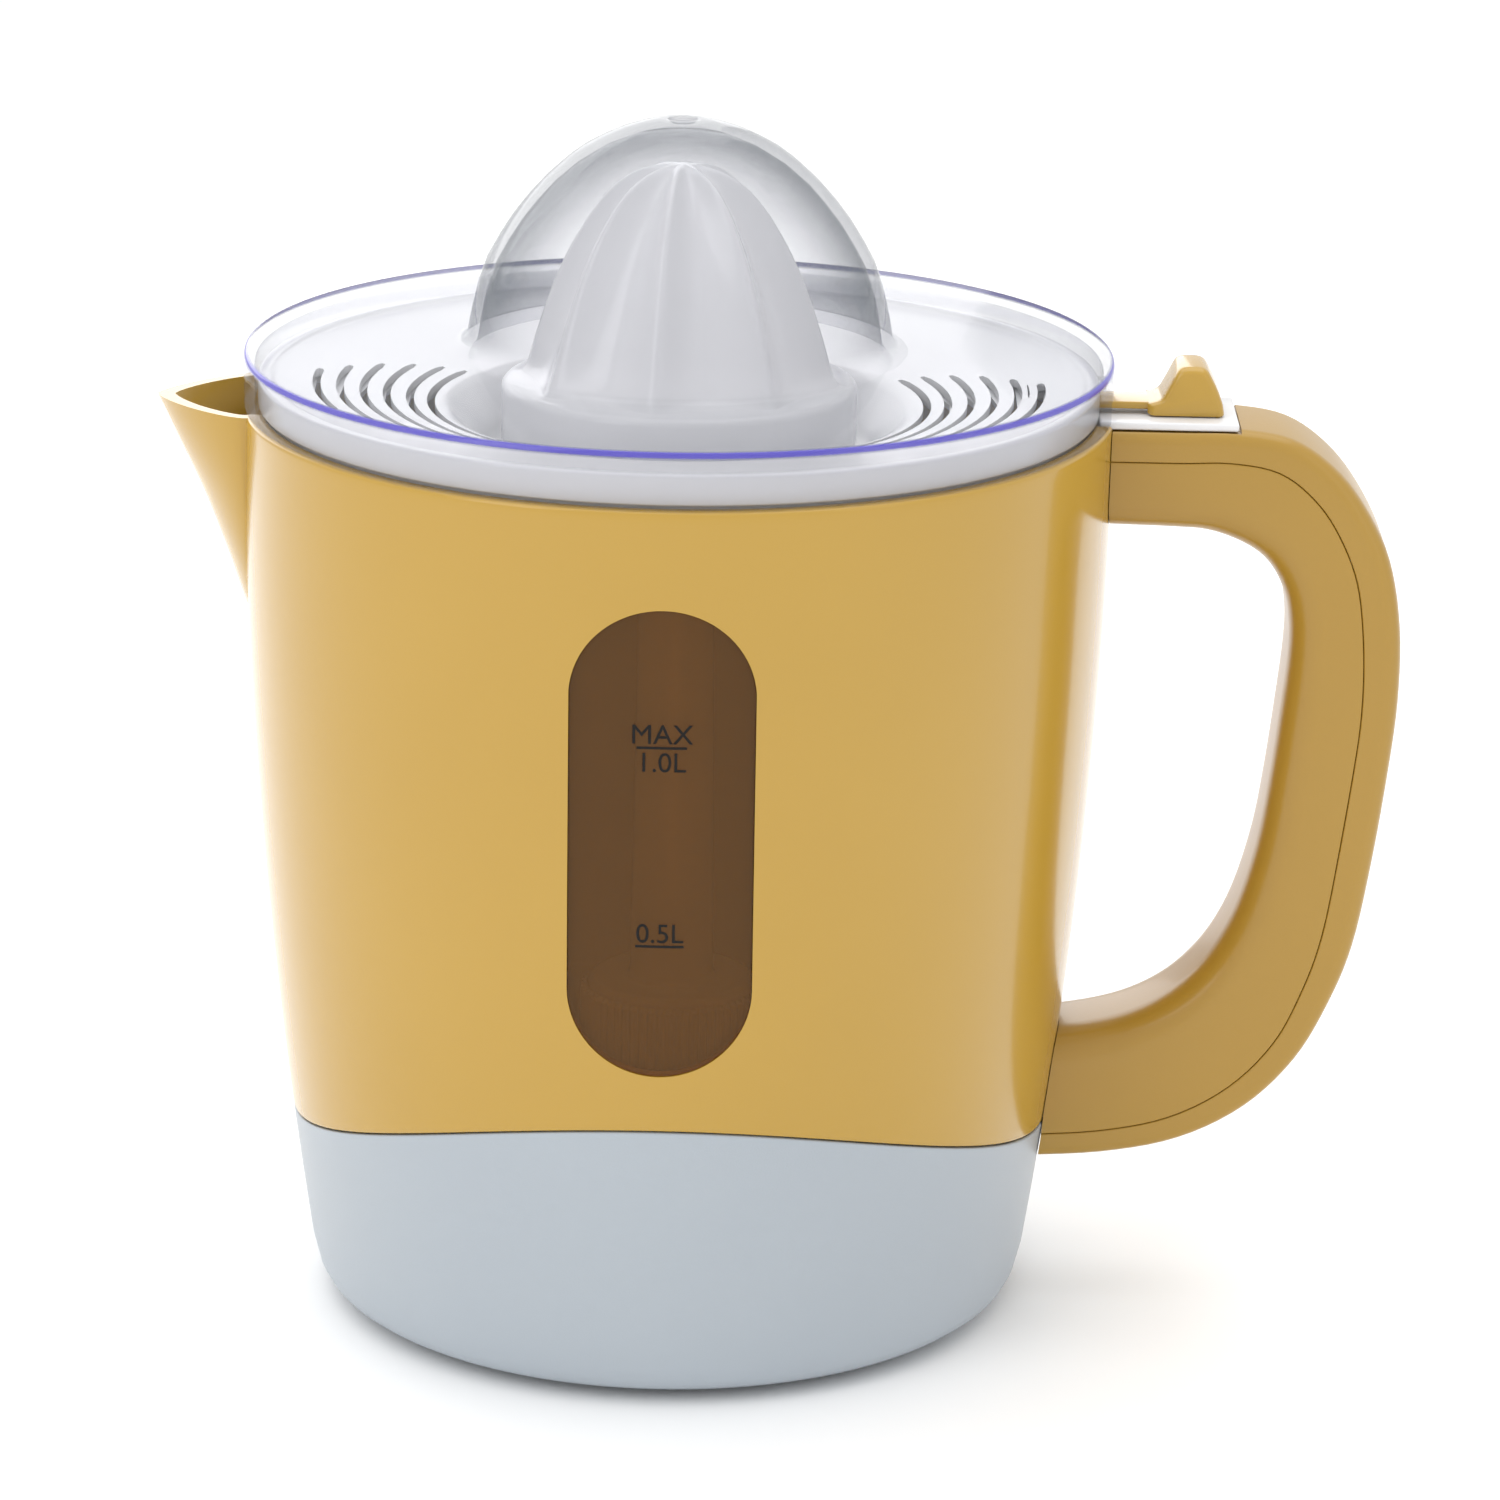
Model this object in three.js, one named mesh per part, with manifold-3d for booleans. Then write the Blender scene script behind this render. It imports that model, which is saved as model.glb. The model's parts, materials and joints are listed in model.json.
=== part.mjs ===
// Citrus press juicer: a jug with spout and handle that nests on a motor base, with a
// strainer, a ribbed reamer and a clear dust cover. Millimetres, +Z up, table at z = 0.
import * as THREE from 'three';
import { mergeVertices } from 'three/addons/utils/BufferGeometryUtils.js';
import manifoldModule from 'manifold-3d';

const wasm = await manifoldModule();
wasm.setup();

// ---------------------------------------------------------------- driving dimensions
const SEGMENTS = 36; // facets around every large turned piece
const GAP = 0.3; // play between neighbouring plastic pieces

// Outer body, shared by the jug and the base.
const RIM_Z = 160.3;
const RIM_R = 75;
const BODY_TAPER = 12.5; // how much narrower the body is at the table
const bodyR = (z) => RIM_R - BODY_TAPER * (1 - z / 160) ** 2;
const SEAM_MID = 42.7; // saddle-shaped joint between jug and base
const SEAM_RISE = 9.6;
const seamZ = (angle) => SEAM_MID + SEAM_RISE * Math.cos(2 * (angle + Math.PI / 2));

// Base.
const BASE_WALL = 2.4;
const DECK_TOP = 32.4;
const DECK_UNDER = 30;
const PLATE_Z = [3.2, 5.6];
const PLATE_R = 56;
const FOOT_R = 42; // pitch radius of the four feet
const BASE_SCREW_R = 51;
const BASE_SCREW_ANGLES = [85, 205, 325];
const GEAR_PLATE_Z = [19.3, 20.9];
const GEAR_PLATE_R = 46;
const GEAR_SCREW_R = 42;
const GEAR_SCREW_ANGLES = [110, 180, 300];
const INLET_Z = 16;

// Gear train, 20 : 1 from the motor to the reamer.
const MOTOR_TEETH = 10;
const WHEEL_TEETH = 50;
const FAST_MODULE = 0.8;
const PINION_TEETH = 12;
const OUTPUT_TEETH = 48;
const SLOW_MODULE = 1;
const LAY_ANGLE = 45;
const MOTOR_ANGLE = -2.2;
const LAY_R = ((PINION_TEETH + OUTPUT_TEETH) * SLOW_MODULE) / 2;
const MOTOR_CAN_R = 22;

// Jug.
const JUG_WALL = 3;
const PLUG_WALL = 2.3; // lower ring that nests inside the base
const FLOOR_Z = [33.2, 35.8];
const BOSS_R = 15;
const BOSS_TOP = 56;
const BOSS_CAVITY_R = 13;
const BOSS_CAVITY_TOP = 53.3;
const TOWER_TOP = 150;
const TOWER_BORE = 4;
const WINDOW_HALF = 15.3;
const WINDOW_Z = [62.5, 144];
const RECESS_HALF = 10.4; // rim and handle recess for the strainer tab
const RECESS_Z = 159.3;

// Drive line.
const SHAFT_R = 3.2;
const STROKE = 2.5; // how far the reamer presses down to start the motor

// Strainer, reamer and cover.
const STRAINER_R = 72.4;
const STRAINER_TOP = 165.9;
const SLOT_RADII = [42.8, 46.4, 50.4, 54.4, 58.4, 62.4];
const SLOT_SPREAD = [37, 35, 31, 26, 20, 14]; // half angle of each arc, degrees
const SLOT_WIDTH = 1.5;
const SHUTTER_SLIDE = 2;
const REAMER_RIBS = 8;
const REAMER_TURN = -8;
const COVER_R = 74.8;
const COVER_WALL = 1.8;

// ------------------------------------------------------------------------ solid tools
const rad = (degrees) => (degrees * Math.PI) / 180;
const polar = (radius, degrees) => [radius * Math.cos(rad(degrees)), radius * Math.sin(rad(degrees))];

function solid(geometry) {
  const bare = geometry.index ? geometry.toNonIndexed() : geometry.clone();
  bare.deleteAttribute('normal');
  bare.deleteAttribute('uv');
  const merged = mergeVertices(bare, 1e-4);
  const p = merged.attributes.position.array;
  const source = merged.index.array;
  const kept = [];
  let volume = 0;
  for (let i = 0; i < source.length; i += 3) {
    const [a, b, c] = [source[i], source[i + 1], source[i + 2]];
    if (a === b || b === c || a === c) continue;
    kept.push(a, b, c);
    const va = new THREE.Vector3(p[3 * a], p[3 * a + 1], p[3 * a + 2]);
    const vb = new THREE.Vector3(p[3 * b], p[3 * b + 1], p[3 * b + 2]);
    const vc = new THREE.Vector3(p[3 * c], p[3 * c + 1], p[3 * c + 2]);
    volume += va.dot(vb.cross(vc));
  }
  if (volume < 0) {
    for (let i = 0; i < kept.length; i += 3) {
      [kept[i], kept[i + 1]] = [kept[i + 1], kept[i]];
    }
  }
  const mesh = new wasm.Mesh({
    numProp: 3,
    vertProperties: new Float32Array(p),
    triVerts: new Uint32Array(kept),
  });
  return wasm.Manifold.ofMesh(mesh);
}

const join = (...parts) => wasm.Manifold.union(parts);
const cut = (part, ...tools) => part.subtract(wasm.Manifold.union(tools));

// Closed profile of [radius, z] pairs turned about the Z axis.
function turned(profile, segments = SEGMENTS) {
  const points = profile.map(([r, z]) => new THREE.Vector2(r, z));
  points.push(points[0].clone());
  const geometry = new THREE.LatheGeometry(points, segments);
  return solid(geometry.rotateX(Math.PI / 2));
}

function moved(part, x, y, z = 0) {
  return part.translate([x, y, z]);
}

function prism(outline, z0, z1) {
  const shape = new THREE.Shape(outline.map(([x, y]) => new THREE.Vector2(x, y)));
  const geometry = new THREE.ExtrudeGeometry(shape, { depth: z1 - z0, bevelEnabled: false });
  return solid(geometry.translate(0, 0, z0));
}

// Outline in the X-Z plane, extruded evenly to both sides of Y = 0.
function sideCut(outline, halfWidth) {
  const shape = new THREE.Shape(outline.map(([x, z]) => new THREE.Vector2(x, z)));
  const geometry = new THREE.ExtrudeGeometry(shape, { depth: 2 * halfWidth, bevelEnabled: false });
  geometry.translate(0, 0, -halfWidth);
  return solid(geometry.rotateX(Math.PI / 2));
}

function rod(x, y, radius, z0, z1, segments = 12) {
  const profile = [[0, z0], [radius, z0], [radius, z1], [0, z1]];
  return moved(turned(profile, segments), x, y);
}

function block(x0, x1, y0, y1, z0, z1) {
  const geometry = new THREE.BoxGeometry(x1 - x0, y1 - y0, z1 - z0);
  return solid(geometry.translate((x0 + x1) / 2, (y0 + y1) / 2, (z0 + z1) / 2));
}

function polygon(count, radius, turn = 0) {
  return Array.from({ length: count }, (_, i) => polar(radius, turn + (360 * i) / count));
}

// Skin over a row of equal rings of 3-D points; the end rings are capped flat.
function loft(rings, capOutline) {
  const count = rings[0].length;
  const positions = rings.flat(2);
  const index = [];
  for (let k = 0; k + 1 < rings.length; k += 1) {
    for (let i = 0; i < count; i += 1) {
      const a = k * count + i;
      const b = k * count + ((i + 1) % count);
      index.push(a, b, b + count, a, b + count, a + count);
    }
  }
  const outline = capOutline.map(([x, y]) => new THREE.Vector2(x, y));
  const last = (rings.length - 1) * count;
  const clockwise = THREE.ShapeUtils.isClockWise(outline);
  for (const triangle of THREE.ShapeUtils.triangulateShape(outline, [])) {
    const [a, b, c] = clockwise ? [...triangle].reverse() : triangle;
    index.push(c, b, a);
    index.push(last + a, last + b, last + c);
  }
  const geometry = new THREE.BufferGeometry();
  geometry.setAttribute('position', new THREE.Float32BufferAttribute(positions, 3));
  geometry.setIndex(index);
  return solid(geometry);
}

// Ring with one flat face; the other face follows the saddle seam, raised by `lift`.
function seamRing(flatZ, lift) {
  const corners = (r, z, angle) => [r * Math.cos(angle), r * Math.sin(angle), z];
  const rings = [];
  for (let i = 0; i < SEGMENTS; i += 1) {
    const angle = (2 * Math.PI * i) / SEGMENTS;
    const z = seamZ(angle) + lift;
    const seamEdge = [corners(50, z, angle), corners(85, z, angle)];
    rings.push([...seamEdge, corners(85, flatZ, angle), corners(50, flatZ, angle)]);
  }
  rings.push(rings[0]);
  const count = 4;
  const index = [];
  for (let k = 0; k < SEGMENTS; k += 1) {
    for (let i = 0; i < count; i += 1) {
      const a = k * count + i;
      const b = k * count + ((i + 1) % count);
      index.push(a, b, b + count, a, b + count, a + count);
    }
  }
  const geometry = new THREE.BufferGeometry();
  geometry.setAttribute('position', new THREE.Float32BufferAttribute(rings.flat(2), 3));
  geometry.setIndex(index);
  return solid(geometry);
}

// Gear outline with straight flanks inside the involute and a little backlash.
function gearOutline(teeth, module, phase) {
  const pitch = (teeth * module) / 2;
  const base = pitch * Math.cos(rad(20));
  const tip = pitch + 0.92 * module;
  const root = pitch - 1.2 * module;
  const involute = (r) => {
    const a = Math.acos(Math.min(1, base / Math.max(r, base)));
    return Math.tan(a) - a;
  };
  const play = (0.11 * module) / pitch;
  const half = (r) => Math.PI / (2 * teeth) - play + involute(pitch) - involute(r);
  const outline = [];
  for (let i = 0; i < teeth; i += 1) {
    const centre = rad(phase) + (2 * Math.PI * i) / teeth;
    for (const [r, side] of [[root, -1], [tip, -1], [tip, 1], [root, 1]]) {
      const angle = centre + side * half(r);
      outline.push([r * Math.cos(angle), r * Math.sin(angle)]);
    }
  }
  return outline;
}

const nodes = [];
function node(name, part, colour, options = {}) {
  const mesh = part.getMesh();
  const geometry = new THREE.BufferGeometry();
  geometry.setAttribute('position', new THREE.BufferAttribute(mesh.vertProperties, 3));
  geometry.setIndex(new THREE.BufferAttribute(mesh.triVerts, 1));
  geometry.computeVertexNormals();
  const material = new THREE.MeshStandardMaterial({ color: colour, flatShading: true, ...options });
  const piece = new THREE.Mesh(geometry, material);
  piece.name = name;
  nodes.push(piece);
}

const YELLOW = '#d2ae5f';
const PALE_GREY = '#c6ced3';
const WHITE = '#eef0f2';
const STEEL = '#b8babd';
const BLACK = '#2a2a2c';
const ACETAL = '#e9e7df';

// ------------------------------------------------------------------------- motor base
const layAt = polar(LAY_R, LAY_ANGLE);
const motorAt = polar(LAY_R, MOTOR_ANGLE);
const baseScrews = BASE_SCREW_ANGLES.map((a) => polar(BASE_SCREW_R, a));
const gearScrews = GEAR_SCREW_ANGLES.map((a) => polar(GEAR_SCREW_R, a));
const feet = [45, 135, 225, 315].map((a) => polar(FOOT_R, a));

const bodyHeights = [11, 19, 28, 40, 48, 56];
const baseOuter = [[56.4, 1.5], [59.6, 2], [61.9, 3.6], [63.2, 6.4]];
for (const z of bodyHeights) baseOuter.push([bodyR(z), z]);
const baseInner = [];
for (const z of [56, 48, 40]) baseInner.push([bodyR(z) - BASE_WALL, z]);
const ledgeZ = DECK_UNDER - GAP;
const ledgeR = bodyR(ledgeZ) - BASE_WALL;
baseInner.push([ledgeR, ledgeZ], [ledgeR - 2.2, ledgeZ], [ledgeR - 2.2, ledgeZ - 1.3], [ledgeR - 0.2, ledgeZ - 3.2]);
baseInner.push([bodyR(18) - BASE_WALL, 18], [61.3, 8.5], [59.8, 5.6], [56.4, 4]);
let housing = turned([...baseOuter, ...baseInner]);
housing = cut(housing, seamRing(80, -GAP / 2));
const inletBore = turned([[0, 50], [4.4, 50], [4.4, 75], [0, 75]], 20).rotate([-90, 0, 0]);
housing = cut(housing, moved(inletBore, 0, 0, INLET_Z));
node('base_housing', housing, PALE_GREY);

const deckR = ledgeR - GAP;
let deck = turned([
  [10.5, DECK_UNDER], [deckR, DECK_UNDER], [deckR, DECK_TOP], [12.3, DECK_TOP], [12.3, 34.5], [10.5, 34.5],
]);
for (const [x, y] of baseScrews) {
  deck = join(deck, rod(x, y, 4, 5.9, DECK_UNDER + 0.5));
  deck = cut(deck, rod(x, y, 1.7, 5, 15, 12));
}
for (const [x, y] of gearScrews) {
  deck = join(deck, rod(x, y, 3.5, 21.2, DECK_UNDER + 0.5));
  deck = cut(deck, rod(x, y, 1.5, 21, 28, 12));
}
node('deck', deck, PALE_GREY);

let bottomPlate = rod(0, 0, PLATE_R, PLATE_Z[0], PLATE_Z[1], SEGMENTS);
for (const [x, y] of baseScrews) bottomPlate = cut(bottomPlate, rod(x, y, 1.9, 2, 7, 12));
for (const [x, y] of feet) bottomPlate = cut(bottomPlate, rod(x, y, 2.7, 2, 7, 12));
for (const angle of [20, 28, 36, 144, 152, 160]) {
  const [x, y] = polar(34, angle + 90);
  bottomPlate = cut(bottomPlate, block(x - 1.2, x + 1.2, y - 5, y + 5, 2, 7));
}
node('bottom_plate', bottomPlate, PALE_GREY);

feet.forEach(([x, y], i) => {
  const profile = [[0, 0], [5.2, 0], [6, 0.8], [6, 2.9], [2.4, 2.9], [2.4, 5.9], [3.1, 5.9], [2.2, 6.7], [0, 6.7]];
  node(`foot_${i + 1}`, moved(turned(profile, 12), x, y), BLACK);
});

// Pan-head screw: head from its top to the shoulder, then the shank.
function screw(x, y, headR, headFrom, shoulder, shankR, shankEnd) {
  const profile = [[0, headFrom], [headR, headFrom], [headR, shoulder], [shankR, shoulder]];
  profile.push([shankR, shankEnd], [0, shankEnd]);
  const depth = headFrom + 0.55 * (shoulder - headFrom);
  const slots = [0, 90].map((turn) => {
    const arm = block(-0.62 * headR, 0.62 * headR, -0.4, 0.4, Math.min(headFrom, depth) - 0.5, Math.max(headFrom, depth));
    const upward = block(-0.62 * headR, 0.62 * headR, -0.4, 0.4, depth, headFrom + 0.5);
    return (headFrom < shoulder ? arm : upward).rotate([0, 0, turn]);
  });
  return moved(cut(turned(profile, 12), ...slots), x, y);
}
baseScrews.forEach(([x, y], i) => {
  node(`bottom_screw_${i + 1}`, screw(x, y, 3, 1.7, 3.1, 1.4, 13), STEEL);
});

let gearPlate = rod(0, 0, GEAR_PLATE_R, GEAR_PLATE_Z[0], GEAR_PLATE_Z[1], 24);
const motorScrews = [-1, 1].map((side) => [motorAt[0] + side * 14, motorAt[1] + side * 5.5]);
gearPlate = cut(gearPlate, rod(0, 0, 7.9, 18, 22), rod(motorAt[0], motorAt[1], 5.6, 18, 22));
gearPlate = cut(gearPlate, rod(layAt[0], layAt[1], 2.05, 18, 22, 16));
for (const [x, y] of [...gearScrews, ...motorScrews]) gearPlate = cut(gearPlate, rod(x, y, 1.8, 18, 22, 12));
node('gearbox_plate', gearPlate, STEEL);
gearScrews.forEach(([x, y], i) => {
  node(`gearbox_screw_${i + 1}`, screw(x, y, 2.7, 17.9, 19.2, 1.25, 26), STEEL);
});

let motorCan = moved(
  turned([[0, 7.4], [21, 7.4], [MOTOR_CAN_R, 8.4], [MOTOR_CAN_R, 18], [21.2, 19], [0, 19]], 24),
  motorAt[0],
  motorAt[1],
);
motorCan = cut(motorCan, rod(motorAt[0], motorAt[1], 5.4, 17, 20), rod(motorAt[0], motorAt[1], 1.4, 9, 20, 12));
for (const [x, y] of motorScrews) motorCan = cut(motorCan, rod(x, y, 1.5, 13, 20, 12));
node('motor_can', motorCan, STEEL);
motorScrews.forEach(([x, y], i) => {
  node(`motor_screw_${i + 1}`, screw(x, y, 2.6, 22.3, 21.1, 1.25, 15), STEEL);
});

const fastPhase = (Math.atan2(layAt[1] - motorAt[1], layAt[0] - motorAt[0]) * 180) / Math.PI;
let rotor = prism(gearOutline(MOTOR_TEETH, FAST_MODULE, fastPhase), 19.4, 24.2);
rotor = moved(join(rotor, rod(0, 0, 1.1, 9.5, 24.6, 12)), motorAt[0], motorAt[1]);
node('motor_pinion', rotor, STEEL);

const wheelPhase = fastPhase + 180 + 180 / WHEEL_TEETH;
const slowPhase = LAY_ANGLE + 180;
let layGear = join(
  prism(gearOutline(WHEEL_TEETH, FAST_MODULE, wheelPhase), 21.5, 24.3),
  prism(gearOutline(PINION_TEETH, SLOW_MODULE, slowPhase), 24.2, 29.2),
);
layGear = moved(cut(layGear, rod(0, 0, 2.2, 20, 31, 16)), layAt[0], layAt[1]);
node('layshaft_gear', layGear, ACETAL);
node('layshaft_axle', rod(layAt[0], layAt[1], 1.9, 19.4, 29.7, 16), STEEL);

const outputPhase = LAY_ANGLE + 180 / OUTPUT_TEETH;
let outputGear = join(
  prism(gearOutline(OUTPUT_TEETH, SLOW_MODULE, outputPhase), 25.1, 29.2),
  rod(0, 0, 6, 18.8, 25.3, 24),
);
outputGear = cut(outputGear, prism(polygon(6, 4), 18, 30));
node('output_gear', outputGear, ACETAL);
const outputBush = turned([[6.3, 18.6], [7.6, 18.6], [7.6, 21.2], [9.2, 21.2], [9.2, 22.4], [6.3, 22.4]], 24);
node('output_bush', outputBush, '#b08d57');

let coupling = join(
  turned([[0, 9.6], [2, 9.6], [2.6, 10.2], [2.6, 13.1], [0, 13.1]], 16),
  rod(0, 0, 6, 13, 14.6, 24),
  prism(polygon(6, 3.6), 14.5, 33.6),
  turned([[0, 33.5], [7.7, 33.5], [8.5, 34.3], [8.5, 36.5], [7.7, 37.3], [0, 37.3]], 24),
  prism(polygon(6, 5.6), 37.2, 46),
);
node('drive_coupling', coupling, ACETAL);

const springRings = [];
const SPRING = { radius: 4, wire: 0.42, turns: 4, from: 6.45, to: 12.3, steps: 10 };
for (let i = 0; i <= SPRING.turns * SPRING.steps; i += 1) {
  const t = i / (SPRING.turns * SPRING.steps);
  const angle = 2 * Math.PI * SPRING.turns * t;
  const z = SPRING.from + (SPRING.to - SPRING.from) * t;
  const ring = polygon(5, SPRING.wire).map(([u, v]) => {
    const r = SPRING.radius + u;
    return [r * Math.cos(angle), r * Math.sin(angle), z + v];
  });
  springRings.push(ring);
}
node('return_spring', loft(springRings, polygon(5, SPRING.wire)), STEEL);

const switchBody = join(
  block(-21, -9.6, -3.2, 3.2, 13.3, 19.1),
  block(-20, -16, 2.75, 3.5, 11, 14),
  block(-20, -16, -3.5, -2.75, 11, 14),
  block(-15.6, -13.4, -1.2, 1.2, 12.95, 13.5),
);
node('switch_body', switchBody, BLACK);
const lever = join(
  block(-19, -4.9, -2.3, 2.3, 12.05, 12.7),
  turned([[0, -2.5], [0.6, -2.5], [0.6, 2.5], [0, 2.5]], 12).rotate([90, 0, 0]).translate([-18, 0, 12.2]),
);
node('switch_lever', lever, STEEL);

let inlet = turned([
  [2.9, 58.4], [6, 58.4], [6, 60.2], [4, 60.2], [4, 66.2], [6.6, 66.2], [6.6, 67.4], [5.2, 68.4], [2.9, 68.4],
], 16);
inlet = moved(inlet.rotate([-90, 0, 0]), 0, 0, INLET_Z);
node('cord_inlet', inlet, BLACK);

// -------------------------------------------------------------------------------- jug
const jugHeights = [40, 48, 56, 70, 88, 108, 132];
const jugOuter = [[0, FLOOR_Z[0]], [bodyR(FLOOR_Z[0]), FLOOR_Z[0]]];
for (const z of jugHeights) jugOuter.push([bodyR(z), z]);
jugOuter.push([75, 159.6], [74.4, RIM_Z], [0, RIM_Z]);
const plug = [[0, 20], [bodyR(20) - BASE_WALL - GAP, 20]];
for (const z of [40, 48, 56]) plug.push([bodyR(z) - BASE_WALL - GAP, z]);
plug.push([0, 56]);

// Spout: level sections from the keel's foot up to the rim.
const spoutKeel = [[118, 73, 3], [124, 75.4, 6.2], [132.5, 78.3, 10], [143.3, 82.3, 13.6], [152, 86.4, 16], [160.3, 90.3, 17.2]];
function spoutRing(z, keel, half, inset) {
  const w = half - inset;
  const tip = keel - 1.5 * inset;
  const root = bodyR(z) - 1;
  const bend = root + 0.45 * (tip - root);
  const side = [[-60, w], [-root, w], [-bend, 0.5 * w], [-tip + 2, 1.5 - 0.3 * inset], [-tip, 0]];
  const mirror = side.slice(0, -1).reverse().map(([x, y]) => [x, -y]);
  return [...side, ...mirror].map(([x, y]) => [x, y, z]);
}
function spoutSolid(inset, rows) {
  const rings = rows.map(([z, keel, half]) => spoutRing(z, keel, half, inset));
  return loft(rings, rings[0].map(([x, y]) => [x, y]));
}
const spoutHollowRows = spoutKeel.slice(1).map(([z, keel, half]) => [z + 1.5, keel, half]);

let jug = turned(jugOuter);
const belowSeam = cut(seamRing(10, GAP / 2), turned(plug));
jug = cut(jug, belowSeam);
jug = join(jug, spoutSolid(0, spoutKeel));
const cavity = [[0, FLOOR_Z[1]], [bodyR(36) - BASE_WALL - GAP - PLUG_WALL - 2, FLOOR_Z[1]]];
for (const z of [40, 48, 55]) cavity.push([bodyR(z) - BASE_WALL - GAP - PLUG_WALL, z]);
for (const z of [60, 88, 132]) cavity.push([bodyR(z) - JUG_WALL, z]);
cavity.push([71.8, 158], [71.8, 166], [0, 166]);
jug = cut(jug, turned(cavity), spoutSolid(2.4, spoutHollowRows), turned([
  [0, 30], [BOSS_R + GAP, 30], [BOSS_R + GAP, 37], [0, 37],
], 24));

// Stadium outline in X-Z for the sight window, pushed through the front wall only.
function stadium(half, z0, z1) {
  const outline = [];
  for (let i = 0; i <= 10; i += 1) {
    const a = (Math.PI * i) / 10;
    outline.push([half * Math.cos(a), z1 - half + half * Math.sin(a)]);
  }
  for (let i = 0; i <= 10; i += 1) {
    const a = Math.PI + (Math.PI * i) / 10;
    outline.push([half * Math.cos(a), z0 + half + half * Math.sin(a)]);
  }
  return outline;
}
const windowTool = sideCut(stadium(WINDOW_HALF, ...WINDOW_Z), 20).translate([0, -75, 0]);
jug = cut(jug, windowTool, block(68, 78, -RECESS_HALF, RECESS_HALF, RECESS_Z, 170));
node('jug_shell', jug, YELLOW);

// Tower for the drive shaft: a hollow boss over the base's coupling, with fine flutes round it,
// and a flange that seals on the jug's floor.
const flutes = [];
for (let i = 0; i < 60; i += 1) flutes.push(polar(i % 2 ? 16.2 : 15.3, 6 * i));
let tower = turned([
  [BOSS_CAVITY_R, FLOOR_Z[0]], [BOSS_R, FLOOR_Z[0]], [BOSS_R, 36.1], [19, 36.1], [19, 37.2], [BOSS_R, 38],
  [BOSS_R, BOSS_TOP - 1], [BOSS_R - 1, BOSS_TOP], [7.5, BOSS_TOP], [6.3, TOWER_TOP], [5, TOWER_TOP],
  [5, 142], [TOWER_BORE, 142], [TOWER_BORE, 60], [5, 60], [5, BOSS_CAVITY_TOP],
  [BOSS_CAVITY_R, BOSS_CAVITY_TOP],
], 24);
const fluteRing = cut(prism(flutes, 43, 54.6), rod(0, 0, BOSS_R - 0.8, 40, 56, 24));
tower = join(tower, fluteRing);
node('drive_tower', tower, WHITE);

const paneProfile = [];
for (const z of [56, 70, 88, 108, 132, 148]) paneProfile.push([bodyR(z) - 0.25, z]);
for (const z of [148, 108, 84, 56]) paneProfile.push([bodyR(z) - 2.5, z]);
const paneTool = stadium(WINDOW_HALF - GAP, WINDOW_Z[0] + GAP, WINDOW_Z[1] - GAP);
const pane = turned(paneProfile).intersect(sideCut(paneTool, 20).translate([0, -75, 0]));
node('window_pane', pane, '#4a3624', { transparent: true, opacity: 0.55 });

// Handle: an inner channel and an outer strap that close on each other along both sides.
// Each row is the inner edge and the outer edge in X-Z, then the strap's thickness.
const handleRows = [
  [70, 142.3, 70, 160, 5.8], [84, 142, 84, 160, 5.8], [91.5, 141.4, 96, 160, 5.8],
  [97.6, 139.3, 105, 158.4, 6], [102, 136.2, 112.4, 153.6, 6.3], [105, 131.2, 118, 146.8, 6.6],
  [106.2, 125.6, 122.8, 137.4, 6.8], [106.3, 119, 125.4, 125.4, 6.8], [105.2, 106.9, 125.7, 112, 6.6],
  [104, 95.8, 124.4, 98, 6.4], [102.4, 84.8, 122.4, 82, 6.2], [99.7, 74.3, 119.9, 67.5, 6],
  [96.5, 66.8, 116.2, 56.7, 5.6], [92.5, 61, 110.6, 46, 5.2], [87.3, 56.2, 102, 36.9, 5],
  [80.5, 52.6, 90.6, 30.7, 4.7], [72, 50.4, 77, 27.7, 4.5], [60, 48.8, 61, 26.6, 4.4],
];
const HANDLE_HALF = 11.25;
const HANDLE_WALL = 2.2;
function handleSection(depth, corner, outward) {
  const w = HANDLE_HALF;
  const t = HANDLE_WALL;
  const side = [[depth, w], [corner, w], [0.3 * corner, w - 0.3 * corner], [0, w - corner]];
  const inner = [[t, w - corner], [t + 0.3 * (corner - 1), w - t], [depth, w - t]];
  const outline = [...side.map((p) => p), ...side.slice().reverse().map(([n, y]) => [n, -y])];
  outline.push(...inner.slice().reverse().map(([n, y]) => [n, -y]), ...inner);
  return outward ? outline.map(([n, y]) => [-n, y]) : outline;
}
function handleLoft(strap) {
  const rings = handleRows.map(([ix, iz, ox, oz, thick]) => {
    const length = Math.hypot(ox - ix, oz - iz);
    const [ux, uz] = [(ox - ix) / length, (oz - iz) / length];
    const depth = strap ? thick - 0.1 : length - thick - 0.1;
    const section = handleSection(depth, strap ? 3.2 : 5.5, strap);
    const [sx, sz] = strap ? [ox, oz] : [ix, iz];
    return section.map(([n, y]) => [sx + n * ux, y, sz + n * uz]);
  });
  return loft(rings, handleSection(12, strap ? 3.2 : 5.5, strap));
}
const handleClear = [[0, 15], [bodyR(15) + 0.4, 15]];
for (const z of [22, 28, 34, 40, 46, 52, 60, 132, 146]) handleClear.push([bodyR(z) + 0.4, z]);
handleClear.push([75.4, 170], [0, 170]);
const tabRecess = block(60, 96.4, -RECESS_HALF, RECESS_HALF, RECESS_Z, 166);
node('handle_grip', cut(handleLoft(false), turned(handleClear)), YELLOW);
node('handle_strap', cut(handleLoft(true), turned(handleClear), tabRecess), YELLOW);

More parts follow.
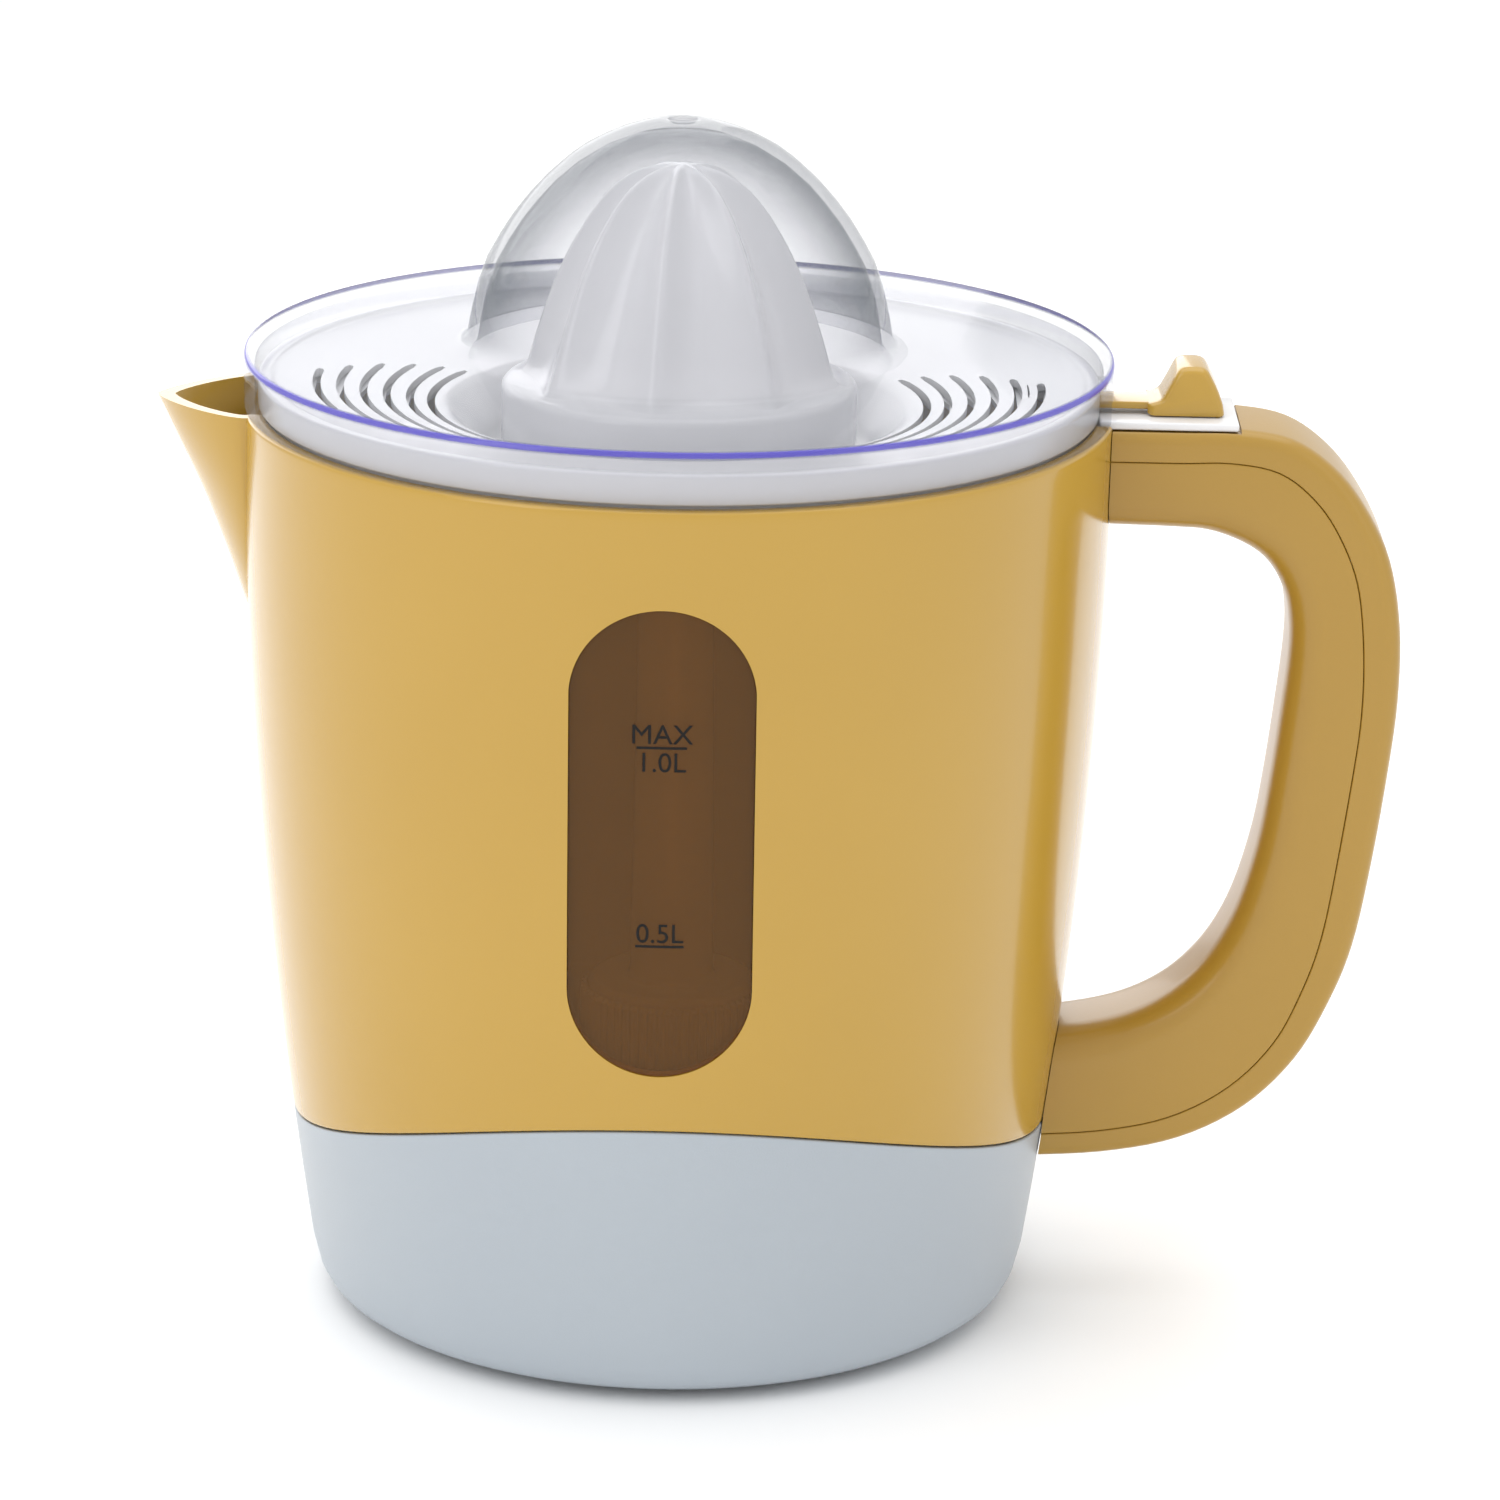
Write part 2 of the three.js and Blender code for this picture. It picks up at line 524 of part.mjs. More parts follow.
// ------------------------------------------------------------- spindle through the jug
let hub = turned([[0, 39.5], [11.4, 39.5], [12, 40.1], [12, 48.5], [8, 50.5], [8, 52.9], [0, 52.9]], 24);
hub = cut(hub, prism(polygon(6, 6.1), 39, 47.6), prism(polygon(6, 3.6), 47, 54));
node('spindle_hub', hub, ACETAL);
node('hub_retainer', turned([[9.4, 37.7], [12.7, 37.7], [12.7, 39.2], [9.4, 39.2]], 24), WHITE);
const shaft = join(
  prism(polygon(6, SHAFT_R), 46.3, 60.2),
  rod(0, 0, SHAFT_R, 60, 155.2, 16),
  rod(0, 0, 4.5, 155, 156.6, 16),
  prism(polygon(6, SHAFT_R), 156.5, 186),
);
node('drive_shaft', shaft, STEEL);
node('lower_bush', turned([[3.5, 53.6], [4.8, 53.6], [4.8, 59.7], [3.5, 59.7]], 20), '#b08d57');
node('upper_bush', turned([[3.5, 142.3], [4.8, 142.3], [4.8, 149.9], [3.5, 149.9]], 20), '#b08d57');
node('shaft_seal', turned([[3.4, 150.2], [5.8, 150.2], [5.2, 151.2], [3.6, 152], [3.4, 151.6]], 20), BLACK);

// --------------------------------------------------------------- strainer and shutter
const PLATE_SLOPE = 0.176;
const strainerZ = (r) => 165.4 - PLATE_SLOPE * (70 - r);
const strainerProfile = [
  [STRAINER_R, 160.7], [STRAINER_R, 165.4], [STRAINER_R - 0.6, STRAINER_TOP], [70.6, STRAINER_TOP],
  [69.6, strainerZ(69.6)], [41, strainerZ(41)], [39.2, 159.4], [33.8, 151.6], [32.2, 150.6],
  [9, 150.6], [9, 154], [7.4, 154], [7.4, 148.9], [33, 148.9], [35.4, 150.6], [40.6, 158.4],
  [42, strainerZ(42) - 1.4], [68.6, strainerZ(68.6) - 1.4], [69.6, 162], [69.6, 155], [71.3, 155],
  [71.3, 160.7],
];
let strainer = turned(strainerProfile);
strainer = join(strainer, block(70.2, 96, -10, 10, 159.6, 161));
strainer = cut(strainer, block(60, 80, -4.6, 4.6, 161.5, 163.7));
function slotSolid(radius, spread, centre, width, z0, z1) {
  const steps = Math.max(2, Math.round(spread / 9));
  const outline = [];
  for (let i = 0; i <= steps; i += 1) {
    outline.push(polar(radius + width / 2, centre - spread + (2 * spread * i) / steps));
  }
  for (let i = steps; i >= 0; i -= 1) {
    outline.push(polar(radius - width / 2, centre - spread + (2 * spread * i) / steps));
  }
  return prism(outline, z0, z1);
}
const strainerSlots = [];
const shutterSlots = [];
SLOT_RADII.forEach((radius, i) => {
  for (const centre of [-10, 190]) {
    strainerSlots.push(slotSolid(radius, SLOT_SPREAD[i], centre, SLOT_WIDTH, 155, 170));
    if (i > 0) shutterSlots.push(slotSolid(radius, SLOT_SPREAD[i] + 1, centre, SLOT_WIDTH + 0.2, 155, 170));
  }
});
strainer = cut(strainer, ...strainerSlots);
node('strainer', strainer, WHITE);

const shutterTop = (r) => strainerZ(r) - 2;
let shutter = turned([
  [44.4, shutterTop(44.4)], [44.4, shutterTop(44.4) - 1], [65.6, shutterTop(65.6) - 1], [65.6, shutterTop(65.6)],
]);
shutter = cut(shutter, ...shutterSlots);
node('pulp_shutter', shutter, WHITE);

const knobSide = [
  [80.5, 161.3], [93.7, 161.3], [93, 164.6], [91.9, 167.4], [90.4, 169.1], [88.4, 169.5],
  [86.6, 168.7], [85.6, 166.8], [84.2, 164.6], [82.2, 163.4], [80.5, 163.2],
];
const slider = join(sideCut(knobSide, 6), block(66.2, 81.5, -4, 4, 161.9, 163.2));
node('pulp_slider', slider, YELLOW);

// ----------------------------------------------------------------------------- reamer
// Rows of height, rib radius and groove radius.
const reamerRows = [
  [163.9, 27.2, 23.4], [169.9, 25.7, 21.6], [178.6, 22.9, 18.4], [187.3, 19.2, 14.6],
  [195.2, 14.3, 9.6], [201.2, 6.6, 4], [202.2, 1.6, 1.2],
];
const reamerRings = reamerRows.map(([z, rib, groove]) => {
  const ring = [];
  for (let i = 0; i < REAMER_RIBS; i += 1) {
    const centre = -90 + REAMER_TURN + (360 * i) / REAMER_RIBS;
    const rise = [[-2.8, 1], [2.8, 1], [9, 0.2], [22.5, 0], [36, 0.2]];
    for (const [offset, share] of rise) {
      const [x, y] = polar(groove + share * (rib - groove), centre + offset);
      ring.push([x, y, z]);
    }
  }
  return ring;
});
let reamer = join(
  loft(reamerRings, reamerRings[0].map(([x, y]) => [x, y])),
  turned([[0, 153.8], [30.3, 153.8], [30.7, 154.4], [30.7, 163.4], [29.6, 164.6], [0, 164.6]]),
);
reamer = cut(reamer, turned([
  [0, 153], [28.6, 153], [28.6, 161.6], [21, 164], [19.2, 169.9], [16, 178.6], [12.2, 187.3], [7, 194], [0, 194],
]));
reamer = join(reamer, rod(0, 0, 5.8, 157, 195));
reamer = cut(reamer, prism(polygon(6, 3.6), 156, 187));
node('reamer', reamer, WHITE);

// ------------------------------------------------------------------------- dust cover
const domeOuter = [
  [38.6, 170.4], [36.6, 172.4], [35.5, 178.4], [33.3, 185.6], [29.1, 192.6], [23.3, 199.5], [19.5, 203],
  [14, 206.4], [8, 208.9], [2.4, 210], [0, 209.6],
];
const domeInner = [
  [0, 207.7], [8, 207], [13.3, 204.7], [22, 198.2], [27.6, 191.4], [31.7, 184.6], [33.7, 178], [34.8, 171],
  [36.5, 168.5],
];
let cover = turned([
  [COVER_R, 160.6], [COVER_R, 169.3], [COVER_R - 1, 170.3], [40, 170.3], ...domeOuter, ...domeInner,
  [COVER_R - COVER_WALL - 0.6, 168.5], [COVER_R - COVER_WALL, 167.9], [COVER_R - COVER_WALL, 160.6],
]);
cover = cut(cover, block(68, 80, -RECESS_HALF, RECESS_HALF, 150, 164.2));
node('dust_cover', cover, '#dfe4ee', { transparent: true, opacity: 0.3 });

// ------------------------------------------- centre the whole object over its own origin
const juicer = new THREE.Group();
juicer.name = 'citrus_press_juicer';
nodes.forEach((piece) => juicer.add(piece));
const bounds = new THREE.Box3().setFromObject(juicer);
const centreX = (bounds.min.x + bounds.max.x) / 2;
const centreY = (bounds.min.y + bounds.max.y) / 2;
nodes.forEach((piece) => piece.geometry.translate(-centreX, -centreY, -bounds.min.z));

export default juicer;
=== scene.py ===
import bpy
import bmesh
import json
import math
from mathutils import Matrix, Vector


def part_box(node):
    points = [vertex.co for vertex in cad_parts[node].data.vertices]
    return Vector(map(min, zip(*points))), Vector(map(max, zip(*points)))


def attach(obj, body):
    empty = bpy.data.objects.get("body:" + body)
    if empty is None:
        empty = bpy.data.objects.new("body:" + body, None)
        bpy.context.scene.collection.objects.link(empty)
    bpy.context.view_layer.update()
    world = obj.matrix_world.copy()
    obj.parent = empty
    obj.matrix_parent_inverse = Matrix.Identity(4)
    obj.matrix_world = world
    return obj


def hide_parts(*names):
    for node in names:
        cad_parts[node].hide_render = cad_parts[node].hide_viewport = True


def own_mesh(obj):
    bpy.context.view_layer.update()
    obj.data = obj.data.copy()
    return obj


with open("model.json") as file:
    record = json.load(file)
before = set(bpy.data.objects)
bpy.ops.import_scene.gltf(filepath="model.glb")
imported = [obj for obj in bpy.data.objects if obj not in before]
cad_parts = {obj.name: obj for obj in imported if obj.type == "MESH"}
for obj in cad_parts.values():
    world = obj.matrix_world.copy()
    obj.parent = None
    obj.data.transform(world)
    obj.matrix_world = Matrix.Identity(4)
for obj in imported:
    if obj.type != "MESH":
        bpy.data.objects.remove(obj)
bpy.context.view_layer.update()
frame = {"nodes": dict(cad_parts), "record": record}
scene = bpy.context.scene
MM = 0.001
AXIS = sum(corner.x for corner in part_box("drive_shaft")) / 2  # the reaming axis, in metres


# Camera: a long lens a little above the rim, on the sight window's side. It stands about a
# metre away and looks slightly down, so that the plate of the cover shows as a thin oval.
EYE = Vector((AXIS + 0.0262, -0.9371, 0.3866))
PAN, PITCH, ROLL = -0.01377, 0.29879, 0.018
LENS, SENSOR_WIDTH = 133.83, 36
ahead = Vector((math.sin(PAN) * math.cos(PITCH), math.cos(PAN) * math.cos(PITCH), -math.sin(PITCH)))
level = ahead.cross(Vector((0, 0, 1))).normalized()
upward = level.cross(ahead)
side_axis = level * math.cos(ROLL) + upward * math.sin(ROLL)
top_axis = upward * math.cos(ROLL) - level * math.sin(ROLL)
camera_data = bpy.data.cameras.new("camera")
camera_data.lens = LENS
camera_data.sensor_width = SENSOR_WIDTH
camera_data.clip_end = 20
camera = bpy.data.objects.new("camera", camera_data)
scene.collection.objects.link(camera)
turn = Matrix((side_axis, top_axis, -ahead)).transposed()
camera.matrix_world = Matrix.Translation(EYE) @ turn.to_4x4()
scene.camera = camera


# Studio: a pale floor, a white room and soft lamps, the largest above and to the left. Colours
# are shown as they are, without a film curve.
scene.view_settings.view_transform = "Standard"


def lamp(name, place, aim, size, power):
    data = bpy.data.lights.new(name, "AREA")
    data.shape = "RECTANGLE"
    data.size, data.size_y = size
    data.energy = power
    holder = bpy.data.objects.new(name, data)
    scene.collection.objects.link(holder)
    holder.location = place
    holder.rotation_euler = (Vector(aim) - Vector(place)).to_track_quat("-Z", "Y").to_euler()


lamp("key_lamp", (-0.75, -0.75, 0.75), (0, 0, 0.09), (0.5, 0.9), 2.4)
lamp("fill_lamp", (0.85, -0.7, 0.5), (0, 0, 0.09), (0.4, 0.9), 0.4)
lamp("top_lamp", (0, 0.1, 1.1), (0, 0, 0.1), (1.2, 1.0), 4.5)
lamp("back_lamp", (-0.35, 0.9, 0.5), (0, 0, 0.12), (1.0, 0.6), 3)
world = bpy.data.worlds.new("studio")
world.use_nodes = True
world.node_tree.nodes["Background"].inputs["Color"].default_value = (1, 1, 1, 1)
world.node_tree.nodes["Background"].inputs["Strength"].default_value = 0.98
scene.world = world


class Wire:
    """A shader socket that takes part in sums, so that mask * 2 + 1 adds Math nodes."""

    def __init__(self, tree, socket):
        self.tree = tree
        self.socket = socket

    def node(self, kind, settings=None, outlet=0, **inputs):
        made = self.tree.nodes.new("ShaderNode" + kind)
        for name, value in (settings or {}).items():
            if name == "stops":
                ramp = made.color_ramp
                while len(ramp.elements) < len(value):
                    ramp.elements.new(0.5)
                for element, (place, colour) in zip(ramp.elements, value):
                    element.position = place
                    element.color = colour
            else:
                setattr(made, name, value)
        for name, value in inputs.items():
            key = int(name[1:]) if name[0] == "i" and name[1:].isdigit() else name.replace("_", " ")
            if isinstance(value, Wire):
                self.tree.links.new(value.socket, made.inputs[key])
            else:
                made.inputs[key].default_value = value
        return Wire(self.tree, made.outputs[outlet])

    def maths(self, operation, first, second):
        return self.node("Math", {"operation": operation}, i0=first, i1=second)

    def __add__(self, other):
        return self.maths("ADD", self, other)

    def __radd__(self, other):
        return self.maths("ADD", other, self)

    def __sub__(self, other):
        return self.maths("SUBTRACT", self, other)

    def __rsub__(self, other):
        return self.maths("SUBTRACT", other, self)

    def __mul__(self, other):
        return self.maths("MULTIPLY", self, other)

    def __rmul__(self, other):
        return self.maths("MULTIPLY", other, self)

    def __pow__(self, other):
        return self.maths("POWER", self, other)


def linear(colour, alpha=1.0):
    """A hex colour as the linear values that a socket takes."""
    parts = [int(colour[i:i + 2], 16) / 255 for i in (1, 3, 5)]
    curve = [c / 12.92 if c <= 0.04045 else ((c + 0.055) / 1.055) ** 2.4 for c in parts]
    return (*curve, alpha)


def new_material(name):
    material = bpy.data.materials.new(name)
    material.use_nodes = True
    tree = material.node_tree
    tree.nodes.remove(tree.nodes["Principled BSDF"])
    start = Wire(tree, None)
    place = start.node("TexCoord", outlet=3)
    return material, place


def show(material, shader):
    outlet = material.node_tree.nodes["Material Output"].inputs["Surface"]
    material.node_tree.links.new(shader.socket, outlet)


def moulded_plastic(name, colour, deep, roughness, spread, grain, dent, coat=0.0):
    """Injection-moulded plastic: faint cloudiness, uneven gloss and a fine surface grain."""
    material, place = new_material(name)
    cloud = place.node("TexNoise", Vector=place, Scale=16.0, Detail=3.0, Roughness=0.55)
    fine = place.node("TexNoise", Vector=place, Scale=grain, Detail=2.0, Roughness=0.6)
    mixed = place.node("Mix", {"data_type": "RGBA"}, outlet=2, i0=cloud, i6=linear(colour), i7=linear(deep))
    bump = place.node("Bump", Strength=dent, Distance=0.0002, Height=fine)
    gloss = cloud * spread + fine * (0.5 * spread) + (roughness - 0.75 * spread)
    skin = place.node("BsdfPrincipled", Base_Color=mixed, Roughness=gloss, Normal=bump,
                      Coat_Weight=coat, Coat_Roughness=0.08, IOR=1.5)
    show(material, skin)
    return material


def dress(piece, material):
    piece.data.materials.clear()
    piece.data.materials.append(material)


# Floor: a wide sheet of pale paper, so that the juicer stands in an even, bright studio. It
# lies a hair below the feet.
FLOOR_SIZE = 6
FLOOR_DROP = 0.4
bpy.ops.object.select_all(action="DESELECT")
bpy.ops.mesh.primitive_plane_add(size=FLOOR_SIZE, location=(0, 0, -FLOOR_DROP * MM))
floor = bpy.context.object
floor.name = "floor"
floor_skin, floor_place = new_material("floor_paper")
floor_grain = floor_place.node("TexNoise", Vector=floor_place, Scale=60.0, Detail=2.0)
show(floor_skin, floor_place.node("BsdfPrincipled", Base_Color=linear("#ffffff"),
                                  Roughness=floor_grain * 0.1 + 0.7))
dress(floor, floor_skin)


# Motor base: one pale grey moulding, satin outside, with a deck that carries the jug and a
# wavy upper edge. The wall is 2.4 mm, and the foot edge is rounded over the worktop.
RIM_Z = 160.3
SEAM_GAP = 0.15
BASE_WALL = 2.4
DECK_TOP, DECK_UNDER = 32.4, 30
BOSS_TOP, BOSS_OUTER, BOSS_INNER = 34.5, 12.3, 10.5
INLET_RADIUS = 4.4
SEAM_START = 40  # height of the upper edge before it is drawn out to the wave
WAVE_FROM = 8  # height below which the wave leaves the wall alone
OUTER_BAND = 0.6  # depth of the wall's outer skin, which the wave draws out
TURN_STEPS = 144


def body_radius(z):
    return 75 - 12.5 * (1 - z / 160) ** 2


def seam_height(x, y):
    around = math.atan2(x, -y)
    return 42.7 + 9.6 * math.cos(2 * around)


def rounded(corners, steps=4):
    """A path of (radius, height) corners, with an arc where a corner has a third number."""
    path = []
    count = len(corners)
    for i, corner in enumerate(corners):
        if len(corner) == 2:
            path.append(corner)
            continue
        here = Vector(corner[:2])
        before = Vector(corners[i - 1][:2]) - here
        after = Vector(corners[(i + 1) % count][:2]) - here
        reach = min(corner[2], 0.48 * before.length, 0.48 * after.length)
        start = here + before.normalized() * reach
        end = here + after.normalized() * reach
        for k in range(steps + 1):
            t = k / steps
            point = start * (1 - t) ** 2 + here * 2 * t * (1 - t) + end * t ** 2
            path.append((point.x, point.y))
    return path


def finish_mesh(name, smooth=35):
    piece = bpy.context.object
    bpy.ops.mesh.select_all(action="SELECT")
    bpy.ops.mesh.remove_doubles(threshold=1e-6)
    bpy.ops.mesh.normals_make_consistent(inside=False)
    bpy.ops.object.mode_set(mode="OBJECT")
    bpy.ops.object.transform_apply(location=True, rotation=True, scale=True)
    bpy.ops.object.shade_smooth_by_angle(angle=math.radians(smooth))
    piece.name = name
    return piece


def turned(name, profile, closed=True, steps=TURN_STEPS):
    """A piece turned about the reaming axis: one point drawn out to a profile, then spun."""
    bpy.ops.object.select_all(action="DESELECT")
    r, z = profile[0]
    bpy.ops.mesh.primitive_plane_add(size=MM, location=(AXIS + r * MM, 0, z * MM))
    bpy.ops.object.mode_set(mode="EDIT")
    bpy.ops.mesh.merge(type="CENTER")
    for (r0, z0), (r1, z1) in zip(profile, profile[1:]):
        step = ((r1 - r0) * MM, 0, (z1 - z0) * MM)
        bpy.ops.mesh.extrude_region_move(TRANSFORM_OT_translate={"value": step})
    if closed:
        mesh = bmesh.from_edit_mesh(bpy.context.object.data)
        ends = [v for v in mesh.verts if len(v.link_edges) == 1]
        for vertex in mesh.verts:
            vertex.select = vertex in ends
        bmesh.update_edit_mesh(bpy.context.object.data)
        bpy.ops.mesh.edge_face_add()
    bpy.ops.mesh.select_all(action="SELECT")
    bpy.ops.mesh.spin(steps=steps, angle=2 * math.pi, center=(AXIS, 0, 0), axis=(0, 0, 1))
    return finish_mesh(name)


def lofted(name, rings, smooth=35):
    """A piece drawn out ring by ring: a filled loop is extruded and laid on the next ring."""
    bpy.ops.object.select_all(action="DESELECT")
    bpy.ops.mesh.primitive_circle_add(vertices=len(rings[0]), radius=MM, fill_type="NGON")
    bpy.ops.object.mode_set(mode="EDIT")
    data = bpy.context.object.data
    mesh = bmesh.from_edit_mesh(data)
    tags = mesh.verts.layers.int.new("order")
    mesh.faces.ensure_lookup_table()
    loop = [corner.vert for corner in mesh.faces[0].loops]
    for i, (vertex, point) in enumerate(zip(loop, rings[0])):
        vertex.co = Vector(point) * MM
        vertex[tags] = i
    bmesh.update_edit_mesh(data)
    for ring in rings[1:]:
        bpy.ops.mesh.extrude_region_move(TRANSFORM_OT_translate={"value": (0, 0, 0)})
        mesh = bmesh.from_edit_mesh(data)
        tags = mesh.verts.layers.int["order"]
        for vertex in mesh.verts:
            if vertex.select:
                vertex.co = Vector(ring[vertex[tags]]) * MM
        bmesh.update_edit_mesh(data)
    mesh = bmesh.from_edit_mesh(data)
    mesh.verts.layers.int.remove(mesh.verts.layers.int["order"])
    bmesh.update_edit_mesh(data)
    return finish_mesh(name, smooth)


def use_modifier(piece, kind, **settings):
    bpy.ops.object.select_all(action="DESELECT")
    bpy.context.view_layer.objects.active = piece
    piece.select_set(True)
    modifier = piece.modifiers.new("tool", kind)
    for key, value in settings.items():
        setattr(modifier, key, value)
    bpy.ops.object.modifier_apply(modifier=modifier.name)


def carve(piece, tool, operation="DIFFERENCE", smooth=35):
    """Cuts the tool out of the piece, or joins it on, and clears the tool away."""
    use_modifier(piece, "BOOLEAN", object=tool, operation=operation, solver="EXACT")
    bpy.data.objects.remove(tool)
    bpy.ops.object.shade_smooth_by_angle(angle=math.radians(smooth))


def bar(name, low, high):
    """A block between two corners in millimetres from the axis, for cutting or bevelling."""
    centre = [(a + b) / 2 * MM for a, b in zip(low, high)]
    size = [(b - a) * MM for a, b in zip(low, high)]
    bpy.ops.object.select_all(action="DESELECT")
    bpy.ops.mesh.primitive_cube_add(size=1, location=(AXIS + centre[0], centre[1], centre[2]))
    bpy.context.object.scale = size
    bpy.ops.object.transform_apply(location=True, rotation=True, scale=True)
    bpy.context.object.name = name
    return bpy.context.object


def from_axis(rings):
    shift = AXIS / MM
    return [[(x + shift, y, z) for x, y, z in ring] for ring in rings]


def body_heights(low, high, step=4):
    count = max(1, round((high - low) / step))
    return [low + (high - low) * i / count for i in range(count + 1)]


base_path = [(56.4, 1.5, 0.4), (58.6, 1.6), (60.4, 2.1), (61.8, 3.2), (62.8, 5), (63.3, 7)]
base_path += [(body_radius(z), z) for z in body_heights(10, SEAM_START - 1)]
base_path += [(body_radius(SEAM_START), SEAM_START, 0.45)]
base_path += [(body_radius(SEAM_START) - BASE_WALL, SEAM_START, 0.3)]
base_path += [(body_radius(DECK_TOP) - BASE_WALL, DECK_TOP), (BOSS_OUTER, DECK_TOP, 0.6)]
base_path += [(BOSS_OUTER, BOSS_TOP, 0.5), (BOSS_INNER, BOSS_TOP, 0.5), (BOSS_INNER, DECK_UNDER)]
base_path += [(body_radius(DECK_UNDER) - BASE_WALL, DECK_UNDER)]
base_path += [(body_radius(18) - BASE_WALL, 18), (61.3, 8.5), (59.8, 5.6), (56.4, 4)]
base = turned("base_moulding", rounded(base_path))
for vertex in base.data.vertices:
    x, y, z = (vertex.co.x - AXIS) / MM, vertex.co.y / MM, vertex.co.z / MM
    radius = math.hypot(x, y)
    offset = radius - body_radius(z)
    edge = seam_height(x, y) - SEAM_GAP
    if offset > -OUTER_BAND and z > WAVE_FROM:
        height = WAVE_FROM + (z - WAVE_FROM) * (edge - WAVE_FROM) / (SEAM_START - WAVE_FROM)
    elif offset > -BASE_WALL - 0.1 and z > DECK_TOP:
        height = DECK_TOP + (z - DECK_TOP) * (edge - DECK_TOP) / (SEAM_START - DECK_TOP)
    else:
        continue
    grown = (body_radius(height) + offset) / radius
    vertex.co = (AXIS + x * grown * MM, y * grown * MM, height * MM)
inlet_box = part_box("cord_inlet")
bpy.ops.object.select_all(action="DESELECT")
bpy.ops.mesh.primitive_cylinder_add(vertices=48, radius=INLET_RADIUS * MM, depth=0.02,
                                    rotation=(math.pi / 2, 0, 0),
                                    location=(AXIS, 0.066, (inlet_box[0].z + inlet_box[1].z) / 2))
bpy.ops.object.transform_apply(location=True, rotation=True, scale=True)
carve(base, bpy.context.object)
base_grey = moulded_plastic("base_grey", "#acb4bb", "#a5adb5", 0.36, 0.08, 2600.0, 0.12)
dress(base, base_grey)
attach(base, "base")
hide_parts("base_housing", "deck")


# Jug: one glossy yellow moulding with a ring below that plugs into the base, a floor with a
# hole for the drive tower, and a spout drawn out of the wall opposite the handle.
PLUG_OFFSET = 2.7
PLUG_FOOT = 33.2
JUG_FLOOR = 35.8
TOWER_HOLE = 15.3
UPPER_WALL, LOWER_WALL = 3, 5
jug_path = [(body_radius(SEAM_START), SEAM_START, 0.5)]
jug_path += [(body_radius(z), z) for z in body_heights(SEAM_START + 2, 158)]
jug_path += [(75, RIM_Z, 0.7), (71.9, RIM_Z, 0.5), (71.8, 157)]
jug_path += [(body_radius(z) - UPPER_WALL, z) for z in body_heights(60, 154)[::-1]]
jug_path += [(body_radius(z) - LOWER_WALL, z) for z in body_heights(39, 55)[::-1]]
jug_path += [(body_radius(36) - LOWER_WALL, JUG_FLOOR, 3), (TOWER_HOLE, JUG_FLOOR, 0.2)]
jug_path += [(TOWER_HOLE, PLUG_FOOT, 0.2), (body_radius(PLUG_FOOT) - PLUG_OFFSET, PLUG_FOOT, 0.3)]
jug_path += [(body_radius(SEAM_START) - PLUG_OFFSET, SEAM_START)]
jug = turned("jug_body", rounded(jug_path))
for vertex in jug.data.vertices:
    x, y, z = (vertex.co.x - AXIS) / MM, vertex.co.y / MM, vertex.co.z / MM
    radius = math.hypot(x, y)
    offset = radius - body_radius(z)
    edge = seam_height(x, y) + SEAM_GAP
    if offset < -PLUG_OFFSET - 0.1:
        continue
    if z >= SEAM_START - 0.001:
        height = edge + (z - SEAM_START) * (RIM_Z - edge) / (RIM_Z - SEAM_START)
    else:
        height = PLUG_FOOT + (z - PLUG_FOOT) * (edge - PLUG_FOOT) / (SEAM_START - PLUG_FOOT)
    grown = (body_radius(height) + offset) / radius
    vertex.co = (AXIS + x * grown * MM, y * grown * MM, height * MM)


def along(rows, share):
    """A smooth value between rows of numbers, for a share of the whole row from 0 to 1."""
    place = share * (len(rows) - 1)
    i = min(int(place), len(rows) - 2)
    t = place - i
    before, here, there, after = (rows[max(0, min(len(rows) - 1, i + k))] for k in (-1, 0, 1, 2))
    return [
        0.5 * (2 * b + (c - a) * t + (2 * a - 5 * b + 4 * c - d) * t ** 2 + (3 * b - a - 3 * c + d) * t ** 3)
        for a, b, c, d in zip(before, here, there, after)
    ]


# Height, reach of the spout's keel from the axis, and half its width.
SPOUT_ROWS = [
    (117.5, 72.6, 2.5), (124, 75.4, 6.4), (132.5, 78.3, 10),
    (143.3, 82.4, 13.6), (152, 86.4, 16), (160.2, 90.2, 17.2),
]
SPOUT_BACK = 58  # where the spout's solid starts, inside the jug
SPOUT_SIDES = 24
SPOUT_WALL = 2.3
HOLLOW_START = 0.22  # share of the spout's height where its channel begins
MOUTH_RISE = 6


def spout_rings(inset, first, last, stations=16):
    rings = []
    for k in range(stations + 1):
        share = first + (last - first) * k / stations
        z, keel, half = along(SPOUT_ROWS, share)
        tip, width = keel - 1.35 * inset, max(0.6, half - inset)
        root = body_radius(z) - 1.2
        ring = [(-SPOUT_BACK, width, z), (-root, width, z)]
        for i in range(1, SPOUT_SIDES):
            a = math.pi * (i / SPOUT_SIDES - 0.5)
            reach = root + (tip - root) * abs(math.cos(a)) ** 1.5
            ring.append((-reach, -width * math.copysign(abs(math.sin(a)) ** 1.5, a), z))
        ring += [(-root, -width, z), (-SPOUT_BACK, -width, z)]
        rings.append(ring)
    return from_axis(rings)


outer_rings = spout_rings(0, 0, 1)
carve(jug, lofted("spout", outer_rings), "UNION")
inner_rings = spout_rings(SPOUT_WALL, HOLLOW_START, 1)
mouth = [[(x, y, z + MOUTH_RISE) for x, y, z in inner_rings[-1]]]
carve(jug, lofted("spout_hollow", inner_rings + mouth))

WINDOW_HALF, WINDOW_LOW, WINDOW_HIGH = 15.3, 62.5, 144
TAB_SLOT_HALF = 10.4  # half the width of the notches that clear the strainer's tab


